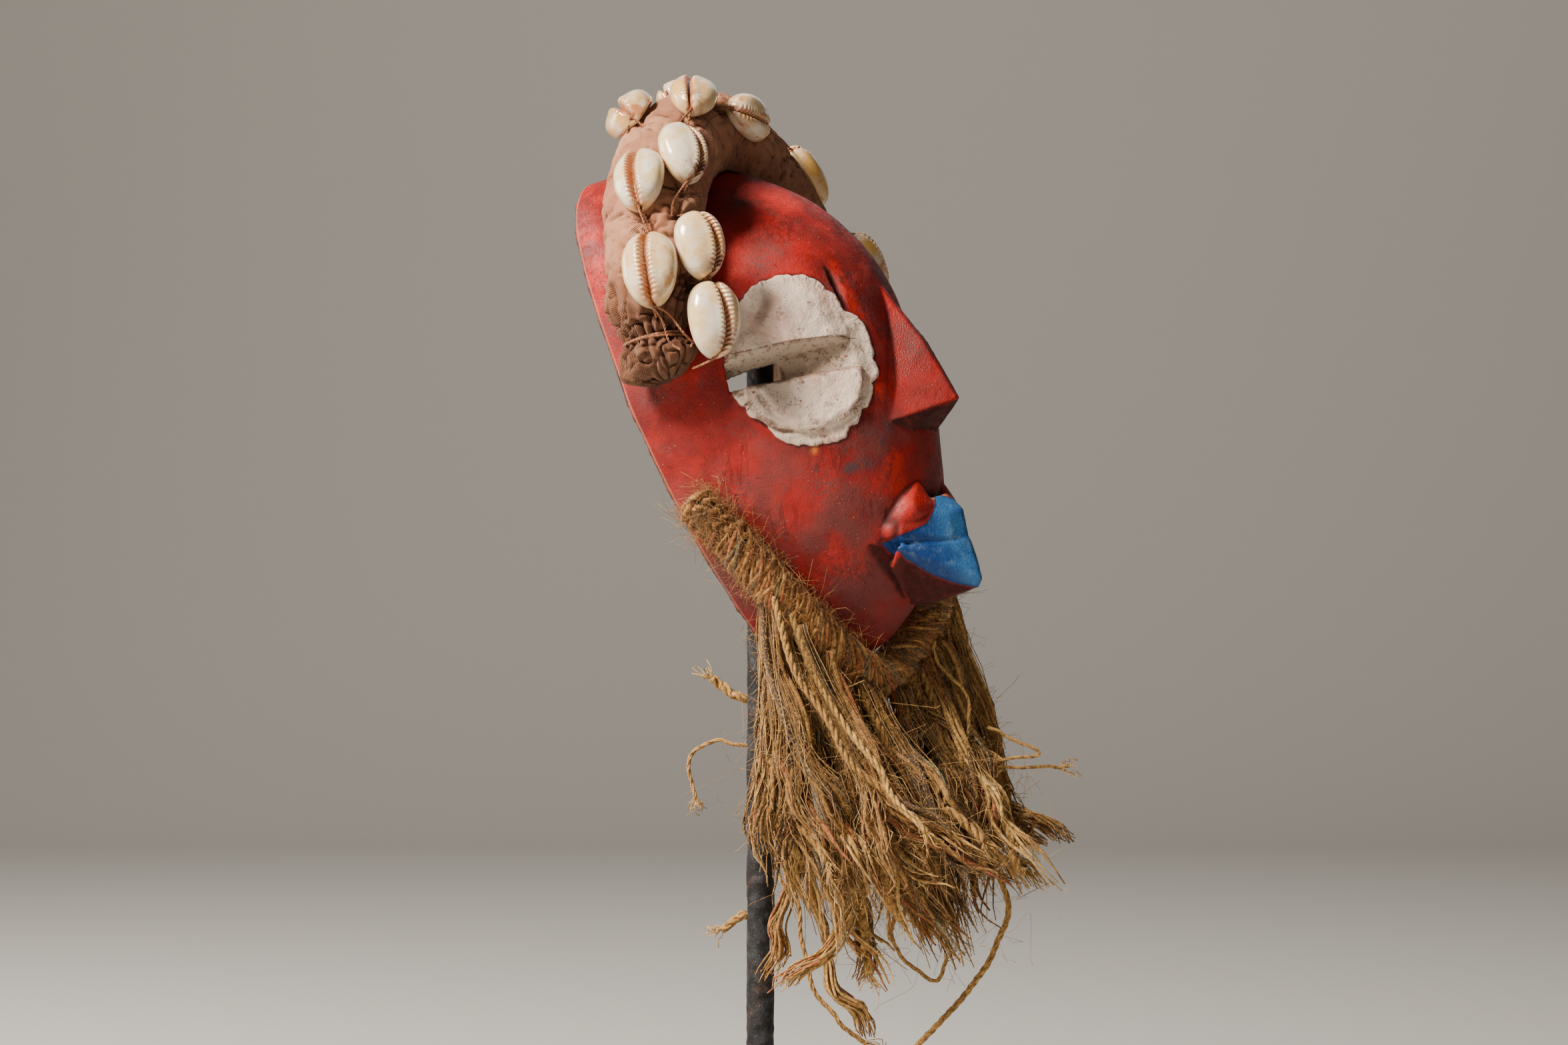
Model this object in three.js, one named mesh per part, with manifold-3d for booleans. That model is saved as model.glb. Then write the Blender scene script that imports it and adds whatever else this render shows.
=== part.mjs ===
// Cowrie shell mask: a small hollow face carved in wood and painted red, worn leaning back
// on an iron rod with a square foot. A stuffed cloth roll arches over the head from temple
// to temple with cowries sewn on it in two rows, and a rope round the jaw carries a jute beard.
// Millimetres, +Z up. The origin is under the rod, on the ground, and the face looks to -Y.

import * as THREE from 'three';
import { mergeVertices } from 'three/addons/utils/BufferGeometryUtils.js';
import { ConvexGeometry } from 'three/addons/geometries/ConvexGeometry.js';
import Module from 'manifold-3d';

const wasm = await Module();
wasm.setup();

// Driving dimensions
const gap = 0.3;
const maskPlace = { y: 15.4, z: 262.3, leanDeg: 22 };
const dome = {
  halfWidth: 52, top: 84, bottom: -86, centre: 15, depth: 70, wall: 8,
  crownPowerRim: 3.5, crownPowerFace: 1.85, flangeShare: 0.33, jawPower: 1.65,
  profileTop: 1.85, profileSide: 2.0, profileBottom: 2.8,
};
const eye = {
  outer: { x: -45.5, h: 8 }, inner: { x: -22, h: 3.5 },
  lidRadius: 20, lidHeight: 24, lidRise: 4.6, lidRiseInner: 2.2,
  slitHeight: 10.2, slitTaper: 0.3, slitOuter: -20, slitInner: 20, throughEnd: -2.5, recessDepth: 6.5,
  lowerShift: 2.5, lowerRadius: 17.5, lowerHeight: 16.5, lowerRise: 1.7,
};
const nose = { bridge: 19, tip: -23.3, tipDepth: 81.2, halfWidth: 18, base: -24.5, baseDepth: 63.5 };
const mouth = { cornerX: 19, cornerH: -59.5, cornerDepth: 55, lineH: -63.5, lineDepth: 69 };
const browNotch = { x: 18.5, top: 28, bottom: 12, halfWidth: 1.6, depth: 2.2 };
const roll = {
  halfWide: 14.5, halfThick: 11.5, inward: 17, sink: 2, farPress: 2.5, crownLift: 2.5, startDeg: -9, endDepth: 18, topDepth: 25,
  sides: 14, steps: 40, tieFromEnd: 15, tieShare: 0.78, knotShare: 0.94,
};
const cowrie = { length: 22.5, width: 16, height: 8.4, aperture: 1.9, apertureDepth: 2.4 };
const rope = {
  radius: 7.2, startDeg: 222, endDepth: 9, chinDepth: 22, farDepth: 12, farSlack: 9,
  sides: 10, steps: 34, ripple: 0.6,
};
const fringe = {
  startDeg: 246, stations: 34, rows: 6, outerDrop: 60, innerDrop: 96, sideDrop: 98,
  outerSweep: 50, innerSweep: 10, sideSweep: 9, halfThick: 6, lockDepth: 2.6, lockDrop: 0.07,
};
const stand = { rodRadius: 4.5, rodSides: 12, baseSide: 130, baseThick: 8, baseChamfer: 1.2 };

// Each cowrie: how far round the roll in degrees from the near temple, its place from straight
// outward towards the face, the turn of its long axis from the line of the roll, how far it is
// rolled back from the face about that axis, and its size
const shells = [
  { at: 6.5, turn: 94, yaw: -4, tilt: 36, size: 1.04 },
  { at: 27, turn: 84, yaw: 12, tilt: 30, size: 0.94 },
  { at: 56, turn: 66, yaw: 20, tilt: 0, size: 0.96 },
  { at: 77, turn: 50, yaw: 16, tilt: 0, size: 0.92 },
  { at: 90, turn: 100, yaw: -12, tilt: 0, size: 0.9 },
  { at: 124, turn: 26, yaw: 8, tilt: 0, size: 1.04 },
  { at: 152, turn: 62, yaw: 0, tilt: 0, size: 1.04 },
  { at: 173, turn: 88, yaw: 4, tilt: 20, size: 1.0 },
  { at: 20, turn: 28, yaw: 2, tilt: 0, size: 1.04 },
  { at: 46, turn: 22, yaw: -4, tilt: 0, size: 0.98 },
  { at: 73, turn: -26, yaw: 30, tilt: 0, size: 0.95 },
  { at: 91, turn: -14, yaw: 4, tilt: 0, size: 0.9 },
  { at: 140, turn: -30, yaw: 4, tilt: 0, size: 0.98 },
  { at: 163, turn: 10, yaw: 0, tilt: 0, size: 1.0 },
];

const paint = {
  mask: new THREE.MeshStandardMaterial({ color: 0xa12a1c, roughness: 0.55, metalness: 0 }),
  cloth: new THREE.MeshStandardMaterial({ color: 0xb07a62, roughness: 0.95, metalness: 0 }),
  shell: new THREE.MeshStandardMaterial({ color: 0xeadfca, roughness: 0.25, metalness: 0 }),
  rope: new THREE.MeshStandardMaterial({ color: 0x8a6436, roughness: 0.95, metalness: 0 }),
  fringe: new THREE.MeshStandardMaterial({ color: 0x9a7440, roughness: 0.95, metalness: 0 }),
  iron: new THREE.MeshStandardMaterial({ color: 0x1f1d1c, roughness: 0.7, metalness: 0.8 }),
};

const rad = (degrees) => THREE.MathUtils.degToRad(degrees);
const mix = (a, b, t) => a + (b - a) * t;
const vec = (x, y, z) => new THREE.Vector3(x, y, z);

// A closed solid through rings of points, with a single point closing each end
function loft(rings, startPoint, endPoint) {
  const count = rings[0].length;
  const points = [...rings.flat(), startPoint, endPoint];
  const startIndex = rings.length * count;
  const index = [];
  for (let i = 0; i < count; i += 1) {
    const j = (i + 1) % count;
    index.push(startIndex, j, i);
    for (let k = 0; k + 1 < rings.length; k += 1) {
      const a = k * count;
      const b = a + count;
      index.push(a + i, a + j, b + j, a + i, b + j, b + i);
    }
    const last = (rings.length - 1) * count;
    index.push(last + i, last + j, startIndex + 1);
  }
  const geometry = new THREE.BufferGeometry().setFromPoints(points);
  geometry.setIndex(index);
  return geometry;
}

function solidOf(geometry) {
  const bare = geometry.clone();
  bare.deleteAttribute('normal');
  bare.deleteAttribute('uv');
  const merged = mergeVertices(bare, 1e-4);
  const solid = new wasm.Manifold(new wasm.Mesh({
    numProp: 3,
    vertProperties: new Float32Array(merged.attributes.position.array),
    triVerts: new Uint32Array(merged.index.array),
  }));
  return solid;
}

function geometryOf(solid) {
  const mesh = solid.getMesh();
  const geometry = new THREE.BufferGeometry();
  geometry.setAttribute('position', new THREE.BufferAttribute(mesh.vertProperties, 3));
  geometry.setIndex(new THREE.BufferAttribute(mesh.triVerts, 1));
  geometry.computeVertexNormals();
  return geometry;
}

const mirrored = (points) => points.flatMap((p) => [p, vec(-p.x, p.y, p.z)]);
const hull = (points) => solidOf(new ConvexGeometry(points));

// The head's outline seen from the front is a superellipse about the point (0, centre). Its
// power changes from the pointed chin to the crown, and the crown is squarer at the back rim
// than on the face, which leaves a flange there. Returns the reach along an angle.
function outlineReach(angle, grow, depth) {
  const c = Math.cos(angle);
  const s = Math.sin(angle);
  const height = s > 0 ? dome.top - dome.centre : dome.centre - dome.bottom;
  const towardsFace = THREE.MathUtils.smoothstep(depth / (dome.depth + grow), 0, dome.flangeShare);
  const crownPower = mix(dome.crownPowerRim, dome.crownPowerFace, towardsFace);
  const power = mix(dome.jawPower, crownPower, THREE.MathUtils.smoothstep(s, -0.35, 0.35));
  const across = Math.abs(c) / (dome.halfWidth + grow);
  const along = Math.abs(s) / (height + grow);
  return 1 / (across ** power + along ** power) ** (1 / power);
}

// Section of the head from its outline to its crown: another superellipse, boxier at the chin
function profilePower(angle) {
  const s = Math.sin(angle);
  const pole = s > 0 ? dome.profileTop : dome.profileBottom;
  return mix(dome.profileSide, pole, s * s);
}

// Point of the head at an angle round its outline and a depth above its back plane
function domePointAt(angle, depth, grow = 0) {
  const power = profilePower(angle);
  const share = (1 - (depth / (dome.depth + grow)) ** power) ** (1 / power);
  const reach = outlineReach(angle, grow, depth) * share;
  return vec(reach * Math.cos(angle), dome.centre + reach * Math.sin(angle), depth);
}

// Depth of the head's surface over a place on its back plane, found by halving
function domeDepthAt(x, h, grow = 0) {
  const angle = Math.atan2(h - dome.centre, x);
  const distance = Math.hypot(x, h - dome.centre);
  let low = 0;
  let high = dome.depth + grow;
  for (let i = 0; i < 24; i += 1) {
    const middle = (low + high) / 2;
    const point = domePointAt(angle, middle, grow);
    if (Math.hypot(point.x, point.y - dome.centre) > distance) low = middle;
    else high = middle;
  }
  return low;
}

const onDome = (x, h) => vec(x, h, domeDepthAt(x, h));

function domeNormalAt(angle, depth) {
  const step = 0.01;
  const along = domePointAt(angle + step, depth).sub(domePointAt(angle - step, depth));
  const up = domePointAt(angle, depth + step).sub(domePointAt(angle, depth - step));
  return along.cross(up).normalize();
}

function domeSolid(grow, segments, rows, back) {
  const rings = [];
  for (let k = 0; k < rows; k += 1) {
    const rise = (k / rows) * (Math.PI / 2);
    const ring = [];
    for (let i = 0; i < segments; i += 1) {
      const angle = (i / segments) * 2 * Math.PI;
      const depth = (dome.depth + grow) * Math.sin(rise) ** (2 / profilePower(angle));
      ring.push(domePointAt(angle, depth, grow));
    }
    rings.push(ring);
  }
  const skirt = rings[0].map((p) => vec(p.x, p.y, back));
  const start = vec(0, dome.centre, back);
  const crown = vec(0, dome.centre, dome.depth + grow);
  return solidOf(loft(back < 0 ? [skirt, ...rings] : rings, start, crown));
}

// The eye's own frame on one side of the face: u runs from the outer to the inner corner,
// w points out of the face and v up. Its origin is midway between the corners.
function eyeFrame() {
  const outer = onDome(eye.outer.x, eye.outer.h);
  const inner = onDome(eye.inner.x, eye.inner.h);
  const u = inner.clone().sub(outer).normalize();
  const w = u.clone().cross(vec(0, 1, 0)).normalize();
  const v = w.clone().cross(u);
  const origin = outer.add(inner).multiplyScalar(0.5);
  return { u, v, w, origin };
}

function eyePoint(frame, u, v, w) {
  return frame.origin.clone().addScaledVector(frame.u, u)
    .addScaledVector(frame.v, v).addScaledVector(frame.w, w);
}

// The point where the face lies under a place in the eye's frame, raised by rise
function eyeSkin(frame, u, v, rise) {
  const flat = eyePoint(frame, u, v, 0);
  return onDome(flat.x, flat.y).addScaledVector(frame.w, rise);
}

// The upper lid: a half disc that leaves the brow flush and stands out as a shelf at the slit
function upperLid(frame) {
  const edge = (share, w) => eyePoint(frame, eye.lidRadius * share, -eye.slitTaper * (eye.lidRise - w), w);
  const points = [
    edge(-0.95, eye.lidRise * 0.8), edge(0, eye.lidRise + 0.6), edge(0.85, eye.lidRiseInner),
    edge(-0.8, -4), edge(0.8, -4),
  ];
  const facets = 9;
  for (let i = 0; i <= facets; i += 1) {
    const turn = (i / facets) * Math.PI;
    points.push(eyeSkin(frame, eye.lidRadius * Math.cos(turn), eye.lidHeight * Math.sin(turn), -0.1));
    const [u, v] = [0.6 * eye.lidRadius * Math.cos(turn), 0.5 * eye.lidHeight * Math.sin(turn)];
    points.push(eyeSkin(frame, u, v, 2.3));
  }
  return hull(points);
}

// The lower lid: a flat half disc, a little proud of the cheek, with a low step at its rim
function lowerLid(frame) {
  const points = [];
  const facets = 10;
  for (let i = 0; i <= facets; i += 1) {
    const turn = (i / facets) * Math.PI;
    const u = eye.lowerShift + eye.lowerRadius * Math.cos(turn);
    const v = -eye.slitHeight - eye.lowerHeight * Math.sin(turn);
    points.push(eyeSkin(frame, u, v, eye.lowerRise));
    points.push(eyeSkin(frame, u, v, -2));
  }
  return hull(points);
}

// The slit under the upper lid: through the wall at its outer end, then a recess that
// rises to the face at the corner by the nose. It narrows inwards under the lid.
function slitCutter(frame) {
  const clear = 14;
  const outline = new THREE.Shape([
    new THREE.Vector2(eye.slitOuter, clear),
    new THREE.Vector2(eye.slitOuter, -clear - 2),
    new THREE.Vector2(eye.throughEnd, -clear - 2),
    new THREE.Vector2(eye.throughEnd + 2, -eye.recessDepth),
    new THREE.Vector2(eye.slitInner, 0.5),
    new THREE.Vector2(eye.slitInner, clear),
  ]);
  const block = new THREE.ExtrudeGeometry(outline, { depth: eye.slitHeight, bevelEnabled: false });
  const position = block.attributes.position;
  for (let i = 0; i < position.count; i += 1) {
    const narrowing = eye.slitTaper * (eye.lidRise - position.getY(i));
    if (position.getZ(i) < 0.01) position.setZ(i, narrowing);
  }
  const place = new THREE.Matrix4().makeBasis(frame.u, frame.w, frame.v.clone().negate());
  place.setPosition(frame.origin);
  return solidOf(block.applyMatrix4(place));
}

function mirroredSolid(geometrySolid) {
  const geometry = geometryOf(geometrySolid);
  const position = geometry.attributes.position;
  for (let i = 0; i < position.count; i += 1) {
    position.setX(i, -position.getX(i));
  }
  const index = geometry.index.array;
  for (let i = 0; i < index.length; i += 3) {
    [index[i], index[i + 1]] = [index[i + 1], index[i]];
  }
  return solidOf(geometry);
}

// The nose: a wedge from the bridge down to a blunt tip with a flat underside
function noseSolid() {
  const side = [
    vec(1.2, nose.bridge, domeDepthAt(1, nose.bridge)),
    vec(1.2, nose.tip, nose.tipDepth),
    vec(1.6, (nose.bridge + nose.tip) / 2, mix(dome.depth, nose.tipDepth, 0.5) + 1.2),
    vec(nose.halfWidth, nose.base, nose.baseDepth),
    vec(nose.halfWidth * 0.5, nose.base - 3, nose.baseDepth + 3.5),
    vec(4, nose.bridge, dome.depth - 6),
    vec(4, nose.base - 2, dome.depth - 7),
  ];
  return hull(mirrored(side));
}

// The upper lip is a faceted bow with a flat front, and its side masses swell to the corners
function upperLip() {
  const side = [
    vec(0.5, mouth.lineH + 15, mouth.lineDepth - 2.5),
    vec(0.6, mouth.lineH + 8.5, mouth.lineDepth + 0.6),
    vec(0.6, mouth.lineH + 1, mouth.lineDepth - 0.8),
    vec(5, mouth.lineH + 8, mouth.lineDepth - 1.8),
    vec(5.5, mouth.lineH + 1.2, mouth.lineDepth - 3.4),
    vec(9, mouth.lineH + 14, mouth.lineDepth - 5.5),
    vec(mouth.cornerX - 4, mouth.cornerH + 9, mouth.cornerDepth + 4.5),
    vec(mouth.cornerX, mouth.cornerH + 2.5, mouth.cornerDepth + 1),
    vec(mouth.cornerX - 1, mouth.cornerH + 0.3, mouth.cornerDepth),
    vec(10, mouth.lineH, mouth.cornerDepth - 8),
    vec(12, mouth.cornerH + 10, mouth.cornerDepth - 6),
  ];
  return hull(mirrored(side));
}

// The lower lip juts further and ends below in a flat face with a pointed front corner
function lowerLip() {
  const side = [
    vec(0.6, mouth.lineH - 1.2, mouth.lineDepth - 0.8),
    vec(4.5, mouth.lineH - 1.4, mouth.lineDepth - 3),
    vec(0.8, mouth.lineH - 7, mouth.lineDepth - 0.6),
    vec(0.6, mouth.lineH - 13.6, mouth.lineDepth - 1.2),
    vec(0.6, mouth.lineH - 15.6, mouth.lineDepth - 3.4),
    vec(mouth.cornerX, mouth.cornerH - 1.4, mouth.cornerDepth - 1),
    vec(mouth.cornerX - 4, mouth.cornerH - 5.4, mouth.cornerDepth - 7.5),
    vec(mouth.cornerX - 9, mouth.cornerH - 12.6, mouth.cornerDepth - 9.5),
    vec(mouth.cornerX - 12, mouth.cornerH - 17.5, mouth.cornerDepth - 10),
    vec(8, mouth.lineH, mouth.cornerDepth - 8),
  ];
  return hull(mirrored(side));
}

// A short vertical gouge beside the bridge of the nose, where the brow ends
function browCutter(side) {
  const points = [];
  for (const h of [browNotch.top, (browNotch.top + browNotch.bottom) / 2, browNotch.bottom]) {
    const cut = h === browNotch.top || h === browNotch.bottom ? 0.2 : browNotch.depth;
    const width = h === browNotch.top || h === browNotch.bottom ? 0.5 : browNotch.halfWidth;
    const skin = domeDepthAt(browNotch.x, h);
    points.push(vec(side * browNotch.x, h, skin - cut));
    points.push(vec(side * (browNotch.x - width), h, skin + 3));
    points.push(vec(side * (browNotch.x + width), h, skin + 3));
  }
  return hull(points);
}

function maskSolid() {
  const frame = eyeFrame();
  const rightEye = upperLid(frame).add(lowerLid(frame));
  const rightSlit = slitCutter(frame);
  return domeSolid(0, 56, 14, 0)
    .add(noseSolid()).add(upperLip()).add(lowerLip())
    .add(rightEye).add(mirroredSolid(rightEye))
    .subtract(rightSlit).subtract(mirroredSolid(rightSlit))
    .subtract(browCutter(-1)).subtract(browCutter(1))
    .subtract(domeSolid(-dome.wall, 40, 9, -2));
}

// Centre line of the cloth roll, from the near temple (0) over the crown to the far one (1)
function rollCentre(t) {
  const angle = rad(mix(180 - roll.startDeg, roll.startDeg, t));
  const crown = Math.max(Math.sin(angle), 0);
  const depth = mix(roll.endDepth, roll.topDepth, crown);
  const press = roll.farPress * THREE.MathUtils.smoothstep(t, 0.5, 0.62);
  const off = roll.halfThick - roll.sink + roll.crownLift * crown - press;
  return domePointAt(angle, depth).addScaledVector(domeNormalAt(angle, depth), off);
}

const pathOf = (centre, steps) => {
  const points = [];
  for (let i = 0; i <= steps; i += 1) points.push(centre(i / steps));
  return points;
};

// The roll is full along its length, tied near each end and bunched into a knot beyond the
// tie. Returns the share of its full girth.
function rollGirth(fromEnd) {
  const half = roll.tieFromEnd / 2;
  if (fromEnd < half) return mix(0.35, roll.knotShare, Math.sin((fromEnd / half) * (Math.PI / 2)));
  if (fromEnd < roll.tieFromEnd) return mix(roll.knotShare, roll.tieShare, ((fromEnd - half) / half) ** 2);
  return mix(roll.tieShare, 1, THREE.MathUtils.smoothstep(fromEnd, roll.tieFromEnd, roll.tieFromEnd + 12));
}

// Oval rings round a path, each standing square to it. reachAt gives the half axes towards
// the front and outwards.
function ringsAlong(points, sides, reachAt) {
  const front = vec(0, 0, 1);
  return points.map((point, k) => {
    const before = points[Math.max(k - 1, 0)];
    const after = points[Math.min(k + 1, points.length - 1)];
    const along = after.clone().sub(before).normalize();
    const ahead = front.clone().addScaledVector(along, -front.dot(along)).normalize();
    const out = along.clone().cross(ahead);
    const ring = [];
    for (let i = 0; i < sides; i += 1) {
      const turn = (i / sides) * 2 * Math.PI;
      const [wide, thick] = reachAt(k, turn);
      ring.push(point.clone().addScaledVector(ahead, wide * Math.cos(turn))
        .addScaledVector(out, thick * Math.sin(turn)));
    }
    return ring;
  });
}

function tube(points, sides, reachAt) {
  const rings = ringsAlong(points, sides, reachAt);
  return loft(rings, points[0], points[points.length - 1]);
}

function rollSolid() {
  const points = pathOf(rollCentre, roll.steps);
  const stations = [0];
  for (let k = 1; k < points.length; k += 1) {
    stations.push(stations[k - 1] + points[k].distanceTo(points[k - 1]));
  }
  const total = stations[stations.length - 1];
  const body = tube(points, roll.sides, (k, turn) => {
    const girth = rollGirth(Math.min(stations[k], total - stations[k]));
    const inwards = girth > roll.knotShare && Math.sin(turn) > 0;
    return [roll.halfWide * girth, (inwards ? roll.inward : roll.halfThick) * girth];
  });
  return solidOf(body).subtract(domeSolid(gap + 0.15, 56, 14, -1));
}

// Frame on the roll's surface for a shell: the long axis, the way across and the way out
function shellFrame(shell) {
  const t = (shell.at - roll.startDeg) / (180 - 2 * roll.startDeg);
  const step = 0.004;
  const centre = rollCentre(t);
  const along = rollCentre(t + step).sub(rollCentre(t - step)).normalize();
  const ahead = vec(0, 0, 1);
  ahead.addScaledVector(along, -ahead.dot(along)).normalize();
  const out = along.clone().cross(ahead).negate();
  const turn = rad(shell.turn);
  const skin = out.clone().multiplyScalar(roll.halfThick * Math.cos(turn))
    .addScaledVector(ahead, roll.halfWide * Math.sin(turn));
  const normal = out.multiplyScalar(Math.cos(turn) / roll.halfThick)
    .addScaledVector(ahead, Math.sin(turn) / roll.halfWide).normalize();
  const stand = gap + 0.75 * (cowrie.width / 2) * shell.size * Math.sin(rad(shell.tilt));
  const place = centre.add(skin).addScaledVector(normal, stand);
  const long = along.applyAxisAngle(normal, rad(shell.yaw));
  normal.applyAxisAngle(long, -rad(shell.tilt));
  const across = normal.clone().cross(long);
  return new THREE.Matrix4().makeBasis(long, across, normal).setPosition(place);
}

// A cowrie lying on its back: an egg in outline, domed, with the toothed mouth as a groove
function cowrieGeometry(size) {
  const stations = 8;
  const rings = [];
  for (let k = 0; k < stations; k += 1) {
    const s = -0.97 + (1.94 * k) / (stations - 1);
    const round = (1 - Math.abs(s) ** 2.2) ** (1 / 2.2);
    const half = (cowrie.width / 2) * round * (1 + 0.1 * s) * size;
    const high = cowrie.height * (0.35 + 0.65 * round) * size;
    const x = (cowrie.length / 2) * s * size;
    const lip = Math.min(cowrie.aperture * size, half * 0.45);
    const groove = cowrie.apertureDepth * size * (0.4 + 0.6 * round);
    rings.push([
      vec(x, half * 0.7, 0), vec(x, half, high * 0.38), vec(x, half * 0.72, high * 0.84),
      vec(x, lip, high), vec(x, 0, high - groove), vec(x, -lip, high),
      vec(x, -half * 0.72, high * 0.84), vec(x, -half, high * 0.38), vec(x, -half * 0.7, 0),
    ]);
  }
  const tip = (cowrie.length / 2) * size;
  const rise = cowrie.height * 0.2 * size;
  return loft(rings, vec(-tip, 0, rise), vec(tip, 0, rise));
}

// Centre line of the rope that goes round the jaw, from the near end (0) to the far one (1).
// Its far half hangs a little loose in front of the jaw.
function ropeCentre(t) {
  const angle = rad(mix(rope.startDeg, 540 - rope.startDeg, t));
  const chin = Math.sin(Math.PI * t);
  const loose = t < 0.5 ? 0 : Math.sin((t - 0.5) * 2 * Math.PI) ** 2;
  const depth = mix(rope.endDepth, rope.chinDepth, chin) + rope.farDepth * loose;
  const off = rope.radius + gap + 0.5 + rope.farSlack * loose;
  return domePointAt(angle, depth).addScaledVector(domeNormalAt(angle, depth), off);
}

function ropeGeometry() {
  const points = pathOf(ropeCentre, rope.steps);
  return tube(points, rope.sides, (k, turn) => {
    const end = Math.min(k, rope.steps - k);
    const rounding = [0.55, 0.9][end] ?? 1;
    const radius = rounding * (rope.radius - rope.ripple * (0.5 + 0.5 * Math.cos(2 * turn + k * 1.6)));
    return [radius, radius];
  });
}

const head = new THREE.Group();
head.position.set(0, maskPlace.y, maskPlace.z);
head.rotation.x = rad(90 - maskPlace.leanDeg);
head.updateMatrixWorld(true);

const toWorld = (point) => point.clone().applyMatrix4(head.matrixWorld);

// The beard is one hanging mass of yarn below the rope, open at the back like the jaw. Each
// ring of it stands at one place along the rope: down the outside, across the bottom and up
// the inside. The front is swept forward, and ripples stand for the locks.
function fringeRing(share) {
  const angle = mix(fringe.startDeg, 540 - fringe.startDeg, share);
  const t = (angle - rope.startDeg) / (540 - 2 * rope.startDeg);
  const step = 0.005;
  const root = toWorld(ropeCentre(t));
  const along = toWorld(ropeCentre(t + step)).sub(toWorld(ropeCentre(t - step))).normalize();
  const down = vec(0, 0, -1).addScaledVector(along, along.z).normalize();
  const out = along.clone().cross(down).negate();
  const clear = rope.radius + gap + 0.7;
  const front = Math.sin(Math.PI * share);
  const lock = Math.cos(share * Math.PI * (fringe.stations - 1) * 0.62);
  const dropScale = 1 + fringe.lockDrop * Math.cos(share * 41 + 1);
  const line = (sideways, sweep, drop, s) => {
    const swell = 1 + 0.5 * Math.sin(Math.PI * s) - 0.35 * s;
    const place = root.clone().addScaledVector(down, clear * (sideways ? 0.72 : 1));
    place.addScaledVector(out, sideways * (fringe.halfThick * swell + fringe.lockDepth * lock * s));
    place.y -= sweep * s ** 1.4;
    place.z -= drop * dropScale * s;
    return place;
  };
  const outerSweep = mix(fringe.sideSweep, fringe.outerSweep, front);
  const outerDrop = mix(fringe.sideDrop, fringe.outerDrop, front);
  const innerSweep = mix(fringe.sideSweep, fringe.innerSweep, front);
  const innerDrop = mix(fringe.sideDrop, fringe.innerDrop, front);
  const ring = [line(0, outerSweep, outerDrop, 0)];
  for (let k = 0; k <= fringe.rows; k += 1) ring.push(line(1, outerSweep, outerDrop, k / fringe.rows));
  const middle = line(0, (outerSweep + innerSweep) / 2, (outerDrop + innerDrop) / 2, 1);
  middle.z -= 3;
  ring.push(middle);
  for (let k = fringe.rows; k >= 0; k -= 1) ring.push(line(-1, innerSweep, innerDrop, k / fringe.rows));
  return ring;
}

function fringeGeometry() {
  const rings = [];
  for (let i = 0; i < fringe.stations; i += 1) rings.push(fringeRing(i / (fringe.stations - 1)));
  const middleOf = (ring) => ring[3].clone().add(ring[ring.length - 3]).multiplyScalar(0.5);
  return loft(rings, middleOf(rings[0]), middleOf(rings[rings.length - 1]));
}

// The rod stands under the crown and ends just short of the wood inside the forehead
function rodTop() {
  const inverse = head.matrixWorld.clone().invert();
  let z = maskPlace.z;
  const step = 0.25;
  const clearOf = (x, y) => {
    const p = vec(x, y, z + step).applyMatrix4(inverse);
    return p.z < domeDepthAt(p.x, p.y, -dome.wall) - gap - 0.3;
  };
  const r = stand.rodRadius;
  while (clearOf(0, -r) && clearOf(0, r) && clearOf(r, 0) && clearOf(-r, 0)) z += step;
  return z;
}

function rodGeometry() {
  const top = rodTop();
  const bottom = stand.baseThick + gap;
  const profile = [
    new THREE.Vector2(0, bottom), new THREE.Vector2(stand.rodRadius, bottom),
    new THREE.Vector2(stand.rodRadius, top - 1), new THREE.Vector2(stand.rodRadius - 1, top),
    new THREE.Vector2(0, top),
  ];
  return new THREE.LatheGeometry(profile, stand.rodSides).rotateX(Math.PI / 2);
}

function baseGeometry() {
  const half = stand.baseSide / 2;
  const c = stand.baseChamfer;
  const points = [];
  for (const [x, y] of [[1, 1], [1, -1], [-1, 1], [-1, -1]]) {
    points.push(vec(x * half, y * half, 0));
    points.push(vec(x * half, y * half, stand.baseThick - c));
    points.push(vec(x * (half - c), y * (half - c), stand.baseThick));
  }
  return new ConvexGeometry(points);
}

function named(name, geometry, material) {
  const mesh = new THREE.Mesh(geometry, material);
  mesh.name = name;
  return mesh;
}

head.add(named('mask', geometryOf(maskSolid()), paint.mask));
head.add(named('headband_roll', geometryOf(rollSolid()), paint.cloth));
shells.forEach((shell, i) => {
  const label = String(i + 1).padStart(2, '0');
  const mesh = named(`cowrie_${label}`, cowrieGeometry(shell.size), paint.shell);
  mesh.applyMatrix4(shellFrame(shell));
  head.add(mesh);
});
head.add(named('beard_rope', ropeGeometry(), paint.rope));

const object = new THREE.Group();
object.add(head);
object.add(named('beard_fringe', fringeGeometry(), paint.fringe));
object.add(named('stand_rod', rodGeometry(), paint.iron));
object.add(named('stand_base', baseGeometry(), paint.iron));

export default object;
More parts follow.
